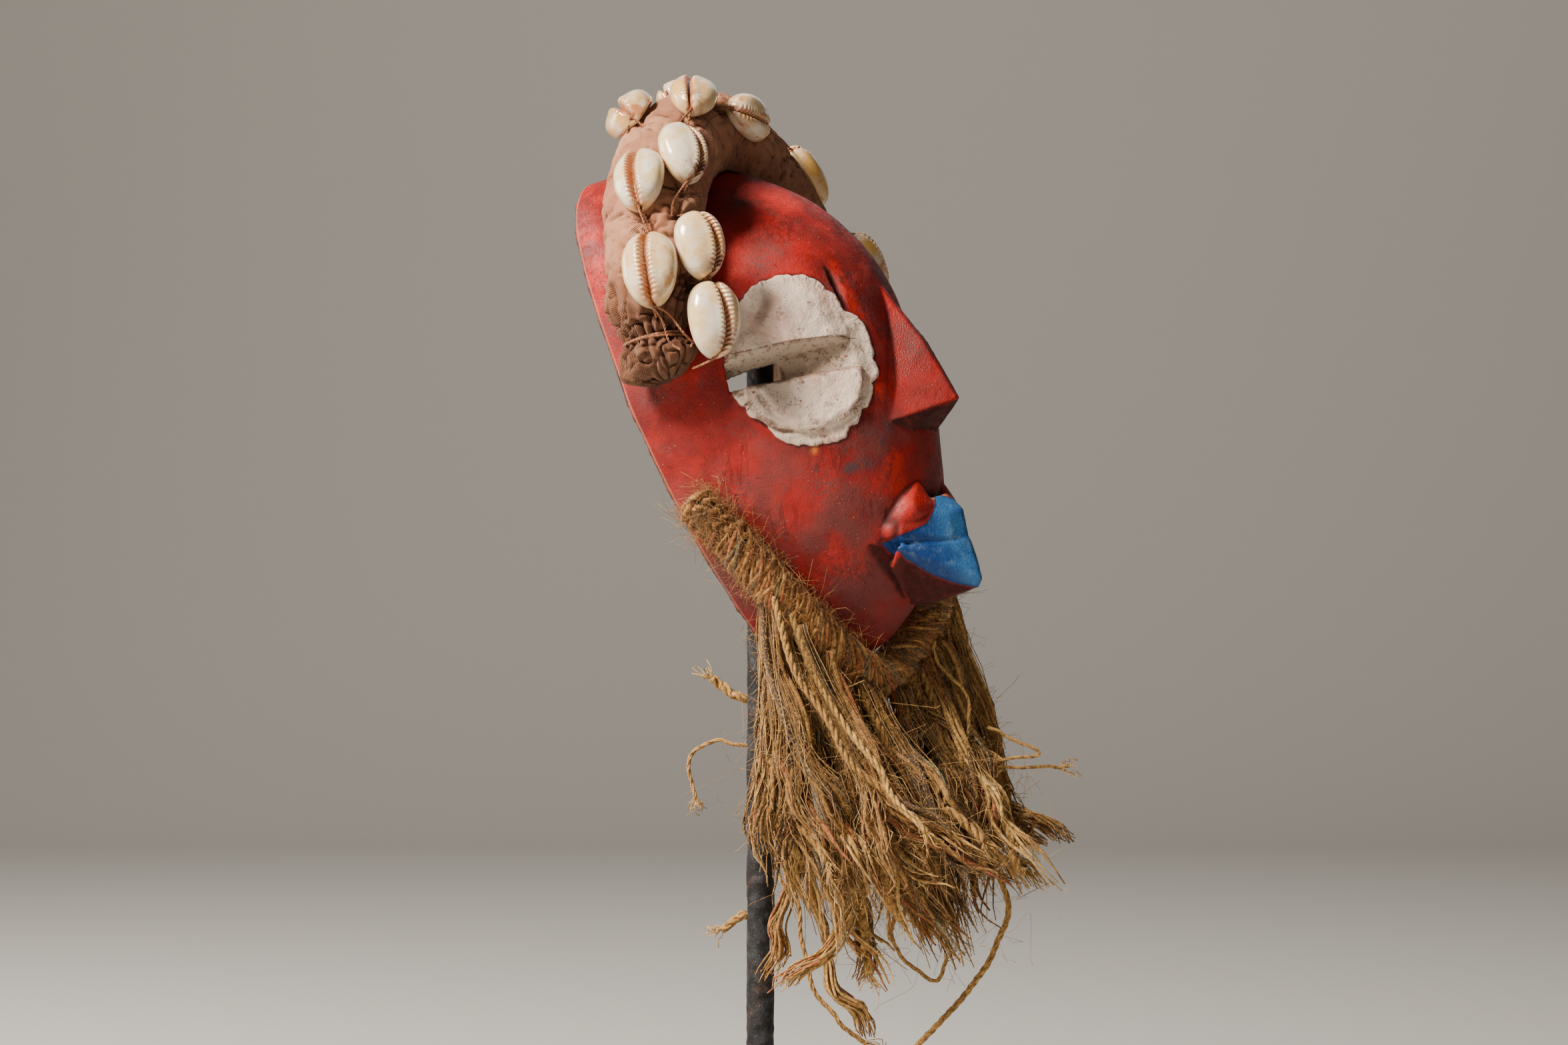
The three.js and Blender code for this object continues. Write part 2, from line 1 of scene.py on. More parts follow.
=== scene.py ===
import bmesh
import bpy
import numpy as np
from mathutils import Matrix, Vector


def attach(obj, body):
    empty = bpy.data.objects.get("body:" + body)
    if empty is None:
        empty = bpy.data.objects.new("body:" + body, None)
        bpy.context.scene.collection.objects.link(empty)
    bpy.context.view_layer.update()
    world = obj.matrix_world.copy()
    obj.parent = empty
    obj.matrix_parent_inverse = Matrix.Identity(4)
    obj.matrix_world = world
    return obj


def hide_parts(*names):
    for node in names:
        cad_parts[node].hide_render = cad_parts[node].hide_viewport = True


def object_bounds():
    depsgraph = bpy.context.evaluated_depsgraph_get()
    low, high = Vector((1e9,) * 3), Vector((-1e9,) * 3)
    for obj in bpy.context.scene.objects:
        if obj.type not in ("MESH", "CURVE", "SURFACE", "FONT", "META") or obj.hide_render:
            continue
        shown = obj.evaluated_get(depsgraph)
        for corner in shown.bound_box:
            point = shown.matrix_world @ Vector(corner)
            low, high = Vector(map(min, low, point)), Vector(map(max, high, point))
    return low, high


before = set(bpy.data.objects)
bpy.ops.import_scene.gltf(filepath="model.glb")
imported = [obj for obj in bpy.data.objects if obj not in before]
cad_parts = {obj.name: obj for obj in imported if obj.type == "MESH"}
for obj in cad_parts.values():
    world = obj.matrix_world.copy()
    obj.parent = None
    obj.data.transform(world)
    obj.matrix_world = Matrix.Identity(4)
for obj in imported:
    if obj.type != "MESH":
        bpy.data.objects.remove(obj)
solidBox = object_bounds()
mm = 0.001
rng = np.random.default_rng(7)
print("stage: frame loaded")


# Small helpers

# Smooth ramp from 0 at low to 1 at high: 3 t squared minus 2 t cubed
def smoothStep(x, low, high):
    t = np.clip((x - low) / (high - low), 0, 1)
    return t * t * (3 - 2 * t)


# Vectors divided by their own length
def unit(v):
    return v / np.maximum(np.linalg.norm(v, axis=-1, keepdims=True), 1e-9)


# Length of each vector
def lengthOf(v):
    return np.linalg.norm(v, axis=-1)


# Bell curve: 1 at zero, 1/e at the given width
def bell(x, width):
    return np.exp(-((x / width) ** 2))


# Angles of evenly shared places round a circle
def fullTurn(count):
    return np.arange(count) / count * 2 * np.pi


# Way at an angle round a path, between its two cross axes
def wheel(across, other, turn):
    return across * np.cos(turn)[..., None] + other * np.sin(turn)[..., None]


# Length run along a path at each of its points
def runLength(points):
    return np.concatenate([[0], np.cumsum(lengthOf(np.diff(points, axis=0)))])


# Smooth curve from b to c at shares t of the way, with a and d as their neighbours (Catmull-Rom)
def curve(a, b, c, d, t):
    return 0.5 * (2 * b + (c - a) * t + (2 * a - 5 * b + 4 * c - d) * t**2 + (3 * b - a - 3 * c + d) * t**3)


# Axes of paths: along them, across them at a right angle to a guide direction, and the third
def pathAxes(paths, guide):
    along = unit(np.gradient(paths, axis=-2))
    across = unit(np.cross(along, guide))
    return along, across, np.cross(along, across)


# The way ahead (to the front of the face) square to the way along, and the way square to both
def frontAxes(along):
    ahead = unit(np.array([0, 0, 1.0]) - along * along[..., 2:3])
    return ahead, np.cross(along, ahead)


# Value noise from -1 to 1: hashed values on a lattice of the given cell size, blended smoothly
def noise(points, cell, seed=0):
    p = np.asarray(points, float) / cell + 137.3 * (seed + 1)
    base = np.floor(p).astype(np.int64)
    f = p - base
    f = f * f * f * (f * (f * 6 - 15) + 10)
    total = np.zeros(p.shape[:-1])
    for corner in range(8):
        off = np.array([corner & 1, corner >> 1 & 1, corner >> 2 & 1])
        c = base + off
        h = (c[..., 0] * 73856093 ^ c[..., 1] * 19349663 ^ c[..., 2] * 83492791 ^ seed * 2654435) & 0xFFFFFFFF
        h = ((h ^ h >> 15) * 2246822519) & 0xFFFFFFFF
        h = ((h ^ h >> 13) * 3266489917) & 0xFFFFFFFF
        value = ((h ^ h >> 16) & 0xFFFFFF) / 0xFFFFFF * 2 - 1
        total += value * np.prod(np.where(off == 1, f, 1 - f), axis=-1)
    return total


# Noise plus finer noise: each octave has half the cell size and half the strength
def fractal(points, cell, octaves, seed=0):
    total = 0
    for k in range(octaves):
        total = total + noise(points, cell / 2**k, seed + 11 * k) / 2**k
    return total


# A new object with the given data, put in the scene
def addObject(name, data):
    thing = bpy.data.objects.new(name, data)
    bpy.context.scene.collection.objects.link(thing)
    return thing


# A mesh object from points in millimetres and quads or triangles given as index arrays
def makePiece(name, points, faces, material=None, smooth=True):
    mesh = bpy.data.meshes.new(name)
    points = np.asarray(points, np.float32) * mm
    faces = [np.asarray(f, np.int32) for f in (faces if isinstance(faces, list) else [faces])]
    loops = np.concatenate([f.ravel() for f in faces])
    sizes = np.concatenate([np.full(len(f), f.shape[1], np.int32) for f in faces])
    starts = np.concatenate([[0], np.cumsum(sizes)[:-1]]).astype(np.int32)
    mesh.vertices.add(len(points))
    mesh.vertices.foreach_set("co", points.ravel())
    mesh.loops.add(len(loops))
    mesh.loops.foreach_set("vertex_index", loops)
    mesh.polygons.add(len(sizes))
    mesh.polygons.foreach_set("loop_start", starts)
    mesh.update(calc_edges=True)
    mesh.polygons.foreach_set("use_smooth", np.full(len(sizes), smooth))
    mesh.validate()
    piece = addObject(name, mesh)
    if material:
        mesh.materials.append(material)
    return piece


# One number for each point; where the values are a grid, the numbers of its two poles follow
def addAttribute(piece, name, values, poles=()):
    layer = piece.data.attributes.new(name, "FLOAT", "POINT")
    layer.data.foreach_set("value", np.append(values, poles).astype(np.float32))


# Ties a finished piece to the frame's root body and hides the nodes it replaces; the slot name is not used
def place(piece, slotName, *nodes):
    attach(piece, "root")
    if nodes:
        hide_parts(*nodes)
    return piece


# Quads of a grid of rows by columns whose columns wrap round, with one point closing each end
def ringFaces(rows, columns):
    r, c = np.meshgrid(np.arange(rows - 1), np.arange(columns), indexing="ij")
    n = (c + 1) % columns
    quads = np.stack([r * columns + c, r * columns + n, (r + 1) * columns + n, (r + 1) * columns + c], -1)
    i = np.arange(columns)
    j = (i + 1) % columns
    first = np.stack([j, i, np.full(columns, rows * columns)], -1)
    last = (rows - 1) * columns
    final = np.stack([last + i, last + j, np.full(columns, rows * columns + 1)], -1)
    return [quads.reshape(-1, 4), np.concatenate([first, final])]


# Points of a grid, then one point for each end
def ringPoints(grid, start, end):
    return np.concatenate([grid.reshape(-1, 3), [start], [end]])


tubeGuide = np.array([0.31, 0.87, 0.38])


# Many thin tubes at once: a ring of points round each point of each path, square to the path.
# paths is tubes x points x 3, radii is tubes x points
def tubeBundle(paths, radii, sides):
    count, length = paths.shape[:2]
    along, across, other = pathAxes(paths, tubeGuide)
    ring = wheel(across[:, :, None], other[:, :, None], fullTurn(sides))
    body = paths[:, :, None] + ring * radii[:, :, None, None]
    points = np.concatenate([body.reshape(count, -1, 3), paths[:, :1], paths[:, -1:]], 1)
    quads, caps = ringFaces(length, sides)
    size = points.shape[1]
    offset = (np.arange(count) * size)[:, None, None]
    return points.reshape(-1, 3), [(quads + offset).reshape(-1, 4), (caps + offset).reshape(-1, 3)]


# The head's own shape
dome = {"halfWidth": 52, "top": 84, "bottom": -86, "centre": 15, "depth": 70, "wall": 8,
        "crownPowerRim": 3.5, "crownPowerFace": 1.85, "flangeShare": 0.33, "jawPower": 1.65,
        "profileTop": 1.85, "profileSide": 2.0, "profileBottom": 2.8}
lean = np.radians(22)
headPlace = np.array([0, 15.4, 262.3])


# From the face's own axes (across, up the face, out of the face) to the standing part
def toWorld(p):
    x, h, d = p[..., 0], p[..., 1], p[..., 2]
    y = h * np.sin(lean) - d * np.cos(lean)
    z = h * np.cos(lean) + d * np.sin(lean)
    return np.stack([x, y, z], -1) + headPlace


# Reach of the outline at an angle: a superellipse whose power runs from the chin to the crown
def outlineReach(angle, grow, depth):
    c, s = np.cos(angle), np.sin(angle)
    height = np.where(s > 0, dome["top"] - dome["centre"], dome["centre"] - dome["bottom"])
    towardsFace = smoothStep(depth / (dome["depth"] + grow), 0, dome["flangeShare"])
    crown = dome["crownPowerRim"] + (dome["crownPowerFace"] - dome["crownPowerRim"]) * towardsFace
    power = dome["jawPower"] + (crown - dome["jawPower"]) * smoothStep(s, -0.35, 0.35)
    across = np.maximum(np.abs(c) / (dome["halfWidth"] + grow), 1e-9)
    along = np.maximum(np.abs(s) / (height + grow), 1e-9)
    return 1 / (across**power + along**power) ** (1 / power)


# Power of the curve from the rim to the crown: the side's, and by sine squared the top's or bottom's
def profilePower(angle):
    s = np.sin(angle)
    pole = np.where(s > 0, dome["profileTop"], dome["profileBottom"])
    return dome["profileSide"] + (pole - dome["profileSide"]) * s * s


# Point of the dome at an angle and a depth in front of its back plane, its skin moved out by grow.
# The outline's reach shrinks to the crown by (1 - (depth / full depth)^power)^(1 / power)
def domePoint(angle, depth, grow=0.0):
    power = profilePower(angle)
    share = np.clip(1 - (np.clip(depth, 0, None) / (dome["depth"] + grow)) ** power, 0, 1) ** (1 / power)
    reach = outlineReach(angle, grow, depth) * share
    return np.stack([reach * np.cos(angle), dome["centre"] + reach * np.sin(angle), depth + 0 * reach], -1)


# Whether points lie nearer the middle than the dome's skin at the same angle and depth
def insideDome(p, grow):
    angle = np.arctan2(p[..., 1] - dome["centre"], p[..., 0])
    surface = domePoint(angle, p[..., 2], grow)
    reach = np.hypot(surface[..., 0], surface[..., 1] - dome["centre"])
    inside = np.hypot(p[..., 0], p[..., 1] - dome["centre"]) < reach
    return inside & (p[..., 2] < dome["depth"] + grow) & (p[..., 2] > 0)


# Depth of the dome's skin in front of a point of the back plane, found by halving the range
def domeDepth(x, h):
    low, high = 0.0, float(dome["depth"])
    for step in range(24):
        middle = (low + high) / 2
        inside = insideDome(np.array([x, h, middle]), 0)
        low, high = (middle, high) if inside else (low, middle)
    return low


# Way out of the dome's skin: square to two short steps along it
def domeNormal(angle, depth):
    along = domePoint(angle + 0.01, depth) - domePoint(angle - 0.01, depth)
    up = domePoint(angle, depth + 0.01) - domePoint(angle, depth - 0.01)
    return unit(np.cross(along, up))


# Closed dome: rings rise from the back plane to the crown, with a skirt if it starts behind it
def domeMesh(name, grow, columns, rows, back):
    angle = fullTurn(columns)
    rise = np.arange(rows) / rows * np.pi / 2
    depth = (dome["depth"] + grow) * np.sin(rise)[:, None] ** (2 / profilePower(angle))
    grid = domePoint(np.broadcast_to(angle, depth.shape), depth, grow)
    if back < 0:
        skirt = grid[:1].copy()
        skirt[..., 2] = back
        grid = np.concatenate([skirt, grid])
    points = ringPoints(grid, [0, dome["centre"], back], [0, dome["centre"], dome["depth"] + grow])
    return makePiece(name, points / mm, ringFaces(len(grid), columns), smooth=False)


# A new object from a shape being edited, which is then freed
def shapeToObject(name, shape):
    mesh = bpy.data.meshes.new(name)
    shape.to_mesh(mesh)
    shape.free()
    return addObject(name, mesh)


# The closed hull round a few corner points, used for the cut-looking lids, lips and nose
def hullMesh(name, points):
    shape = bmesh.new()
    for p in points:
        shape.verts.new(p)
    result = bmesh.ops.convex_hull(shape, input=shape.verts)
    spare = result["geom_interior"] + result["geom_unused"]
    loose = list({v for v in spare if isinstance(v, bmesh.types.BMVert)})
    bmesh.ops.delete(shape, geom=loose, context="VERTS")
    bmesh.ops.recalc_face_normals(shape, faces=shape.faces)
    return shapeToObject(name, shape)


# Each point followed by its mirror image, with x negated
def bothSides(points):
    return [q for p in points for q in ((p[0], p[1], p[2]), (-p[0], p[1], p[2]))]


eye = {"outer": (-45.5, 8), "inner": (-22, 3.5), "lidRadius": 20, "lidHeight": 24, "lidRise": 4.6,
       "lidRiseInner": 2.2, "slitHeight": 10.2, "slitTaper": 0.3, "slitOuter": -20, "slitInner": 20,
       "throughEnd": -4.8, "recessDepth": 4.2, "lowerShift": 2.5, "lowerRadius": 17.5,
       "lowerHeight": 16.5, "lowerRise": 1.7}
eyeOuter, eyeInner = (np.array([*corner, domeDepth(*corner)]) for corner in (eye["outer"], eye["inner"]))
eyeU = unit(eyeInner - eyeOuter)
eyeW = unit(np.cross(eyeU, [0, 1, 0]))
eyeV = np.cross(eyeW, eyeU)
eyeOrigin = (eyeInner + eyeOuter) / 2


# Point from the eye's own axes: u from its outer to its inner corner, v up, w out of the face
def eyePoint(u, v, w):
    return eyeOrigin + eyeU * u + eyeV * v + eyeW * w


# The same, on the skin of the dome and raised from it
def eyeSkin(u, v, rise):
    x, h, depth = eyePoint(u, v, 0)
    return np.array([x, h, domeDepth(x, h)]) + eyeW * rise


# Solids of one eye: the hulls of its upper and its lower lid, and the prism that cuts its slit
def lidShapes(side):
    flip = np.array([side, 1, 1])
    radius, rise, low = eye["lidRadius"], eye["lidRise"], -eye["slitHeight"]

    def lidEdge(u, w):
        return eyePoint(u, -eye["slitTaper"] * (rise - w), w)

    corners = [(-0.95, rise * 0.8), (0, rise + 0.6), (0.85, eye["lidRiseInner"]), (-0.8, -4), (0.8, -4)]
    upper, lower = [lidEdge(radius * share, w) for share, w in corners], []
    for turn in np.linspace(0, np.pi, 25):
        c, s = np.cos(turn), np.sin(turn)
        upper.append(eyeSkin(radius * c, eye["lidHeight"] * s, -0.1))
        upper.append(eyeSkin(0.6 * radius * c, 0.5 * eye["lidHeight"] * s, 2.3))
        u, v = eye["lowerShift"] + eye["lowerRadius"] * c, low - eye["lowerHeight"] * s
        lower += [eyeSkin(u, v, eye["lowerRise"]), eyeSkin(u, v, -2)]
    outline = [(eye["slitOuter"], 14), (eye["slitOuter"], -16), (eye["throughEnd"], -16),
               (eye["throughEnd"] + 2, -eye["recessDepth"]), (eye["slitInner"], 0.5), (eye["slitInner"], 14)]
    top = np.array([lidEdge(u, w) for u, w in outline])
    bottom = np.array([eyePoint(u, low, w) for u, w in outline])
    slit = prismMesh("slit", top * flip, bottom * flip)
    return [hullMesh("lid", np.array(lid) * flip) for lid in (upper, lower)], slit


# A closed prism between two outlines with the same number of corners
def prismMesh(name, top, bottom):
    shape = bmesh.new()
    upper = [shape.verts.new(p) for p in top]
    lower = [shape.verts.new(p) for p in bottom]
    shape.faces.new(upper)
    shape.faces.new(lower[::-1])
    for i in range(len(upper)):
        j = (i + 1) % len(upper)
        shape.faces.new((upper[i], lower[i], lower[j], upper[j]))
    bmesh.ops.recalc_face_normals(shape, faces=shape.faces)
    bmesh.ops.triangulate(shape, faces=shape.faces)
    return shapeToObject(name, shape)


nose = {"bridge": 19, "tip": -23.3, "tipDepth": 81.2, "halfWidth": 18, "base": -24.5, "baseDepth": 63.5}
mouth = {"cornerX": 19, "cornerH": -59.5, "cornerDepth": 55, "lineH": -63.5, "lineDepth": 69}
browNotch = {"x": 19.6, "top": 29, "bottom": 11, "halfWidth": 3.4, "depth": 2.6}


# Nose: the hull of its ridge, its tip and the corners of its flat underside
def noseShape():
    n, depth = nose, dome["depth"]
    return hullMesh("nose", bothSides([
        (1.2, n["bridge"], domeDepth(1, n["bridge"])), (1.2, n["tip"], n["tipDepth"]),
        (1.6, (n["bridge"] + n["tip"]) / 2, (depth + n["tipDepth"]) / 2 + 1.2),
        (n["halfWidth"], n["base"], n["baseDepth"]),
        (n["halfWidth"] * 0.5, n["base"] - 3, n["baseDepth"] + 3.5),
        (4, n["bridge"], depth - 6), (4, n["base"] - 2, depth - 7)]))


# Lips: two hulls of cut-looking facets that meet at the mouth's line, and the swellings beside it
def lipShapes():
    cx, ch, cd, h, d = (mouth[k] for k in ("cornerX", "cornerH", "cornerDepth", "lineH", "lineDepth"))
    upper = hullMesh("upperLip", bothSides([
        (0.5, h + 15, d - 2.5), (0.6, h + 8.5, d + 0.6), (0.6, h + 0.1, d - 0.8), (5, h + 8, d - 1.8),
        (5.5, h + 0.4, d - 3.4), (9, h + 14, d - 5.5), (cx - 4, ch + 9, cd + 4.5), (cx, ch + 2.5, cd + 1),
        (cx - 1, ch + 0.3, cd), (10, h, cd - 8), (12, ch + 10, cd - 6)]))
    lower = hullMesh("lowerLip", bothSides([
        (0.6, h - 0.6, d - 0.5), (4.5, h - 0.8, d - 2.8), (0.8, h - 7, d - 0.6), (0.6, h - 13.6, d - 1.2),
        (0.6, h - 15.6, d - 3.4), (cx, ch - 1.4, cd - 1), (cx - 4, ch - 5.4, cd - 7.5),
        (cx - 9, ch - 12.6, cd - 9.5), (cx - 12, ch - 17.5, cd - 10), (8, h, cd - 8)]))
    return [upper, lower] + [lipBulge(side) for side in (-1, 1)]


# Rounded swelling beside the mouth: the hull round three balls, from its top to the corner
def lipBulge(side):
    balls = [((8.4, -45.4, 60.6), 3.0), ((8.0, -51.4, 60.6), 4.2), ((11.6, -50.6, 57.9), 5.4),
             ((15.8, -55.2, 52.6), 4.0)]
    points = []
    for (x, h, d), radius in balls:
        for up in np.linspace(-1, 1, 9):
            for turn in np.linspace(0, 2 * np.pi, 14, endpoint=False):
                flat = np.sqrt(1 - up * up) * radius
                points.append((side * (x + flat * np.cos(turn)), h + flat * np.sin(turn), d + up * radius))
    return hullMesh("bulge", points)


# Cut beside the bridge of the nose: a three-cornered groove, widest and deepest halfway down
def browCut(side):
    x, top, bottom = browNotch["x"], browNotch["top"], browNotch["bottom"]
    points = []
    for h, cut, width in ((top, 0.2, 0.5), ((top + bottom) / 2, browNotch["depth"], browNotch["halfWidth"]),
                          (bottom, 0.2, 0.5)):
        skin = domeDepth(x, h)
        points.append((side * x, h, skin - cut))
        points += [(side * (x + across), h, skin + 3) for across in (-width, width)]
    return hullMesh("brow", points)


# Adds a modifier of one kind and sets its values
def addModifier(piece, kind, **values):
    modifier = piece.modifiers.new(kind.lower(), kind)
    for key, value in values.items():
        setattr(modifier, key, value)
    return modifier


# Applies the modifiers of a piece to its mesh
def finishedMesh(piece):
    graph = bpy.context.evaluated_depsgraph_get()
    mesh = bpy.data.meshes.new_from_object(piece.evaluated_get(graph))
    piece.modifiers.clear()
    piece.data = mesh
    return piece


carving = {"voxel": 0.74, "keep": 0.62, "softening": 1, "facets": 0.32, "facetCell": 13, "tool": 0.1,
           "toolCell": 4.5, "innerGouge": 0.45}


# Places and normals of a mesh's points
def arraysOf(mesh):
    points = np.zeros(len(mesh.vertices) * 3, np.float32)
    normals = np.zeros(len(mesh.vertices) * 3, np.float32)
    mesh.vertices.foreach_get("co", points)
    mesh.vertices.foreach_get("normal", normals)
    return points.reshape(-1, 3).astype(float), normals.reshape(-1, 3).astype(float)


# Hollowness of each point: how far its neighbours' mean stands out along its normal, in mm
def hollowness(mesh, points, normals):
    edges = np.zeros(len(mesh.edges) * 2, np.int32)
    mesh.edges.foreach_get("vertices", edges)
    a, b = edges[0::2], edges[1::2]
    total, count = np.zeros(points.shape), np.zeros(len(points))
    for one, other in ((a, b), (b, a)):
        np.add.at(total, one, points[other])
        np.add.at(count, one, 1)
    value = ((total / count[:, None] - points) * normals).sum(1)
    for step in range(4):
        mean = np.zeros(len(points))
        np.add.at(mean, a, value[b])
        np.add.at(mean, b, value[a])
        value = 0.4 * value + 0.6 * mean / count
    return value


# Paint borders as signed distances in mm, positive on the painted side
whitePatch = {"u": 2.2, "v": -4.5, "halfWide": 22.4, "halfHigh": 26.6, "scallop": 1.5, "thick": 0.45}
lidCrease = [(43.3, -5.5), (41.9, -13.5), (39.1, -18.7), (33.6, -21), (26.2, -17.6)]


# Places along the three axes of the near eye, with the far side mirrored onto it
def toEye(p):
    q = np.stack([-np.abs(p[:, 0]), p[:, 1], p[:, 2]], -1) - eyeOrigin
    return q @ eyeU, q @ eyeV, q @ eyeW


# A bump of the given height round one direction of the patch's edge
def edgeBump(angle, centreDeg, width, height):
    away = (angle - np.radians(centreDeg) + np.pi) % (2 * np.pi) - np.pi
    return height * bell(away, width)


# Distance to a line through corner points
def lineDistance(x, h, corners):
    best = np.full(x.shape, 99.0)
    for (ax, ah), (bx, bh) in zip(corners[:-1], corners[1:]):
        length = (bx - ax) ** 2 + (bh - ah) ** 2
        t = np.clip(((x - ax) * (bx - ax) + (h - ah) * (bh - ah)) / length, 0, 1)
        best = np.minimum(best, np.hypot(x - ax - t * (bx - ax), h - ah - t * (bh - ah)))
    return best


# Distance inside the white patch: an oval with scallops, a few bumps and a ragged edge
def whiteDistance(p):
    u, v, w = toEye(p)
    du, dv = (u - whitePatch["u"]) / whitePatch["halfWide"], (v - whitePatch["v"]) / whitePatch["halfHigh"]
    radius, angle = np.hypot(du, dv), np.arctan2(dv, du)
    roundness = np.stack([3.3 * np.cos(angle), 3.3 * np.sin(angle), np.sign(p[:, 0])], -1)
    lumps = 2.8 * np.abs(noise(roundness, 1.0, 12)) - 0.9 + 0.9 * np.abs(noise(roundness, 0.4, 13))
    shape = edgeBump(angle, 34, 0.2, -1.6) + edgeBump(angle, -9, 0.3, 1.6) + edgeBump(angle, -140, 0.5, -1.8)
    ragged = 0.35 * noise(p, 4, 3) + 0.25 * noise(p, 1.4, 4)
    return (1 - radius) * 24 + 0.5 * whitePatch["scallop"] * lumps + shape + ragged


# Coordinates that run round the white patch (mm / 0.7) and across its edge (mm / 4)
def eyeRing(p, edge):
    u, v, w = toEye(p)
    angle = np.arctan2(v - whitePatch["v"], u - whitePatch["u"])
    return np.stack([angle * 22 / 0.7, edge / 4, np.sign(p[:, 0]) * 9], -1)


# Painted and worn places on the red, among them painted shade under the nose and the lower lip, in the brow
# grooves, at the mouth's corners and beside the nose, and painted highlight beside the brow grooves and on
# the
# swellings beside the mouth: each a soft amount from 0 to 1 for every point
def paintZones(p, n, white, blue):
    x, h, d = np.abs(p[:, 0]), p[:, 1], p[:, 2]

    def soft(corners, width):
        return bell(lineDistance(x, h, corners), width)

    noseUnder = smoothStep(-n[:, 1], 0.25, 0.6) * smoothStep(d, 58, 61) * (h < -20) * (h > -33)
    lowH, lowD = lipEdge(x)
    lipUnder = smoothStep(-(h - lowH) * 0.75 - (d - lowD) * 0.66, 0.2, 1.2)
    lipUnder *= (h < -57) * smoothStep(d, 43.5, 46) * (x < 21.5)
    lipUnder = lipUnder * smoothStep(-n[:, 1] + 0.5 * noise(p, 6, 71), -0.2, 0.15)
    # Painted shade: under the nose, under the lower lip, in the brow groove, at the mouth's corner and in the
    # crease beside the nose
    dark = np.maximum.reduce([0.95 * noseUnder, 0.9 * lipUnder, 0.6 * soft([(20, 26.5), (20.2, 12)], 1.2),
                              0.8 * soft([(15.8, -58.3), (19.6, -58.6)], 0.7),
                              0.8 * soft([(19, -58), (18.6, -49)], 0.7),
                              0.5 * soft([(3.4, 10), (14.2, -10), (18, -22)], 0.8)])
    # Painted highlight: on the brow groove's inner wall and on the swelling beside the mouth
    bright = np.maximum(soft([(16.6, 27), (16.9, 10)], 1.7),
                        0.45 * soft([(9, -46), (12.5, -50), (16, -54)], 4.4))
    spots = [(18.4, -26, 2.2), (24.5, -35.1, 2.0), (28.2, -34.6, 1.6), (19.5, -30, 1.5)]
    stain = sum(bell(np.hypot(x - spotX, h - spotH), radius) for spotX, spotH, radius in spots)
    inner = np.interp(h, [-14, 10], [3.0, 1.2])
    outer = np.interp(h, [-20, 10], [16.5, 3.4])
    lizard = smoothStep(x, inner - 1, inner + 0.5) * smoothStep(outer - x, 0.0, 1.5) * smoothStep(h, -16, -11)
    lizard = lizard * smoothStep(12 - h, 0, 3) * (d > 66)
    bare = smoothStep(blue, -1.5, -0.4) * (h > -52) * (x < 7.5) * smoothStep(noise(p, 1.5, 72), -0.1, 0.35)
    chip = bell(x - 34.6, 0.45) * bell(h + 26.5, 1.1) * (p[:, 0] < 0)
    return {"paintedShade": dark, "paintedHighlight": bright, "stainPaint": np.clip(stain, 0, 1), "lizard": lizard,
            "bareStroke": np.clip(bare + chip, 0, 1)}


# Lower edge of the blue paint under the lip: height and depth for each distance from the middle
def lipEdge(x):
    across = [0, 1.7, 5.7, 10.6, 13.8, 15.7, 18]
    return (np.interp(x, across, [-78.6, -78.2, -74.8, -70.2, -67, -64.4, -59.5]),
            np.interp(x, across, [65, 64.6, 60.4, 57, 55.4, 53.4, 50.6]))


# Distance inside the blue paint: below its upper edge, above its lower one and short of the corners
def blueDistance(p):
    x, h, d = np.abs(p[:, 0]), p[:, 1], p[:, 2]
    top = np.interp(x, [0, 2, 4.5, 6, 8.7, 11.5, 16, 20],
                    [-50.8, -49.4, -47.6, -49.2, -53.4, -56.4, -57.2, -58])
    lowH, lowD = lipEdge(x)
    under = (h - lowH) * 0.75 + (d - lowD) * 0.66
    wobble = 0.35 * noise(p, 3.4, 5)
    return np.minimum(np.minimum(top - h, under + 0.4), (19.0 - x) * 0.8) + wobble


# Joins the nose, lips and lids to the dome, then cuts the slits, the brow grooves and the hollow
def carveBody():
    body = domeMesh("maskShell", 0, 200, 60, 0)
    tools = [("UNION", shape) for shape in [noseShape()] + lipShapes()]
    cuts = []
    for side in (1, -1):
        lids, slit = lidShapes(side)
        tools += [("UNION", shape) for shape in lids]
        cuts += [("DIFFERENCE", slit), ("DIFFERENCE", browCut(side))]
    tools += cuts + [("DIFFERENCE", domeMesh("hollow", -dome["wall"], 140, 40, -2))]
    for operation, tool in tools:
        addModifier(body, "BOOLEAN", operation=operation, object=tool, solver="MANIFOLD")
    finishedMesh(body)
    for operation, tool in tools:
        bpy.data.objects.remove(tool)
    return body


# Gives the carved body an even mesh: small voxels, softened and pulled back onto the carved faces,
# then thinned inside the hollow and on the back, where little is seen
def evenMesh(body):
    carved = addObject("carved", body.data.copy())
    addModifier(body, "REMESH", mode="VOXEL", voxel_size=carving["voxel"])
    addModifier(body, "SMOOTH", factor=0.5, iterations=carving["softening"])
    addModifier(body, "SHRINKWRAP", target=carved, wrap_method="NEAREST_SURFACEPOINT")
    finishedMesh(body)
    p, n = arraysOf(body.data)
    hidden = insideDome(p, 1.0 - dome["wall"]) | (p[:, 2] < 0.6)
    group = body.vertex_groups.new(name="hidden")
    group.add(np.flatnonzero(hidden).tolist(), 1.0, "REPLACE")
    addModifier(body, "DECIMATE", ratio=carving["keep"], vertex_group="hidden", vertex_group_factor=8.0)
    finishedMesh(body)
    bpy.data.objects.remove(carved)


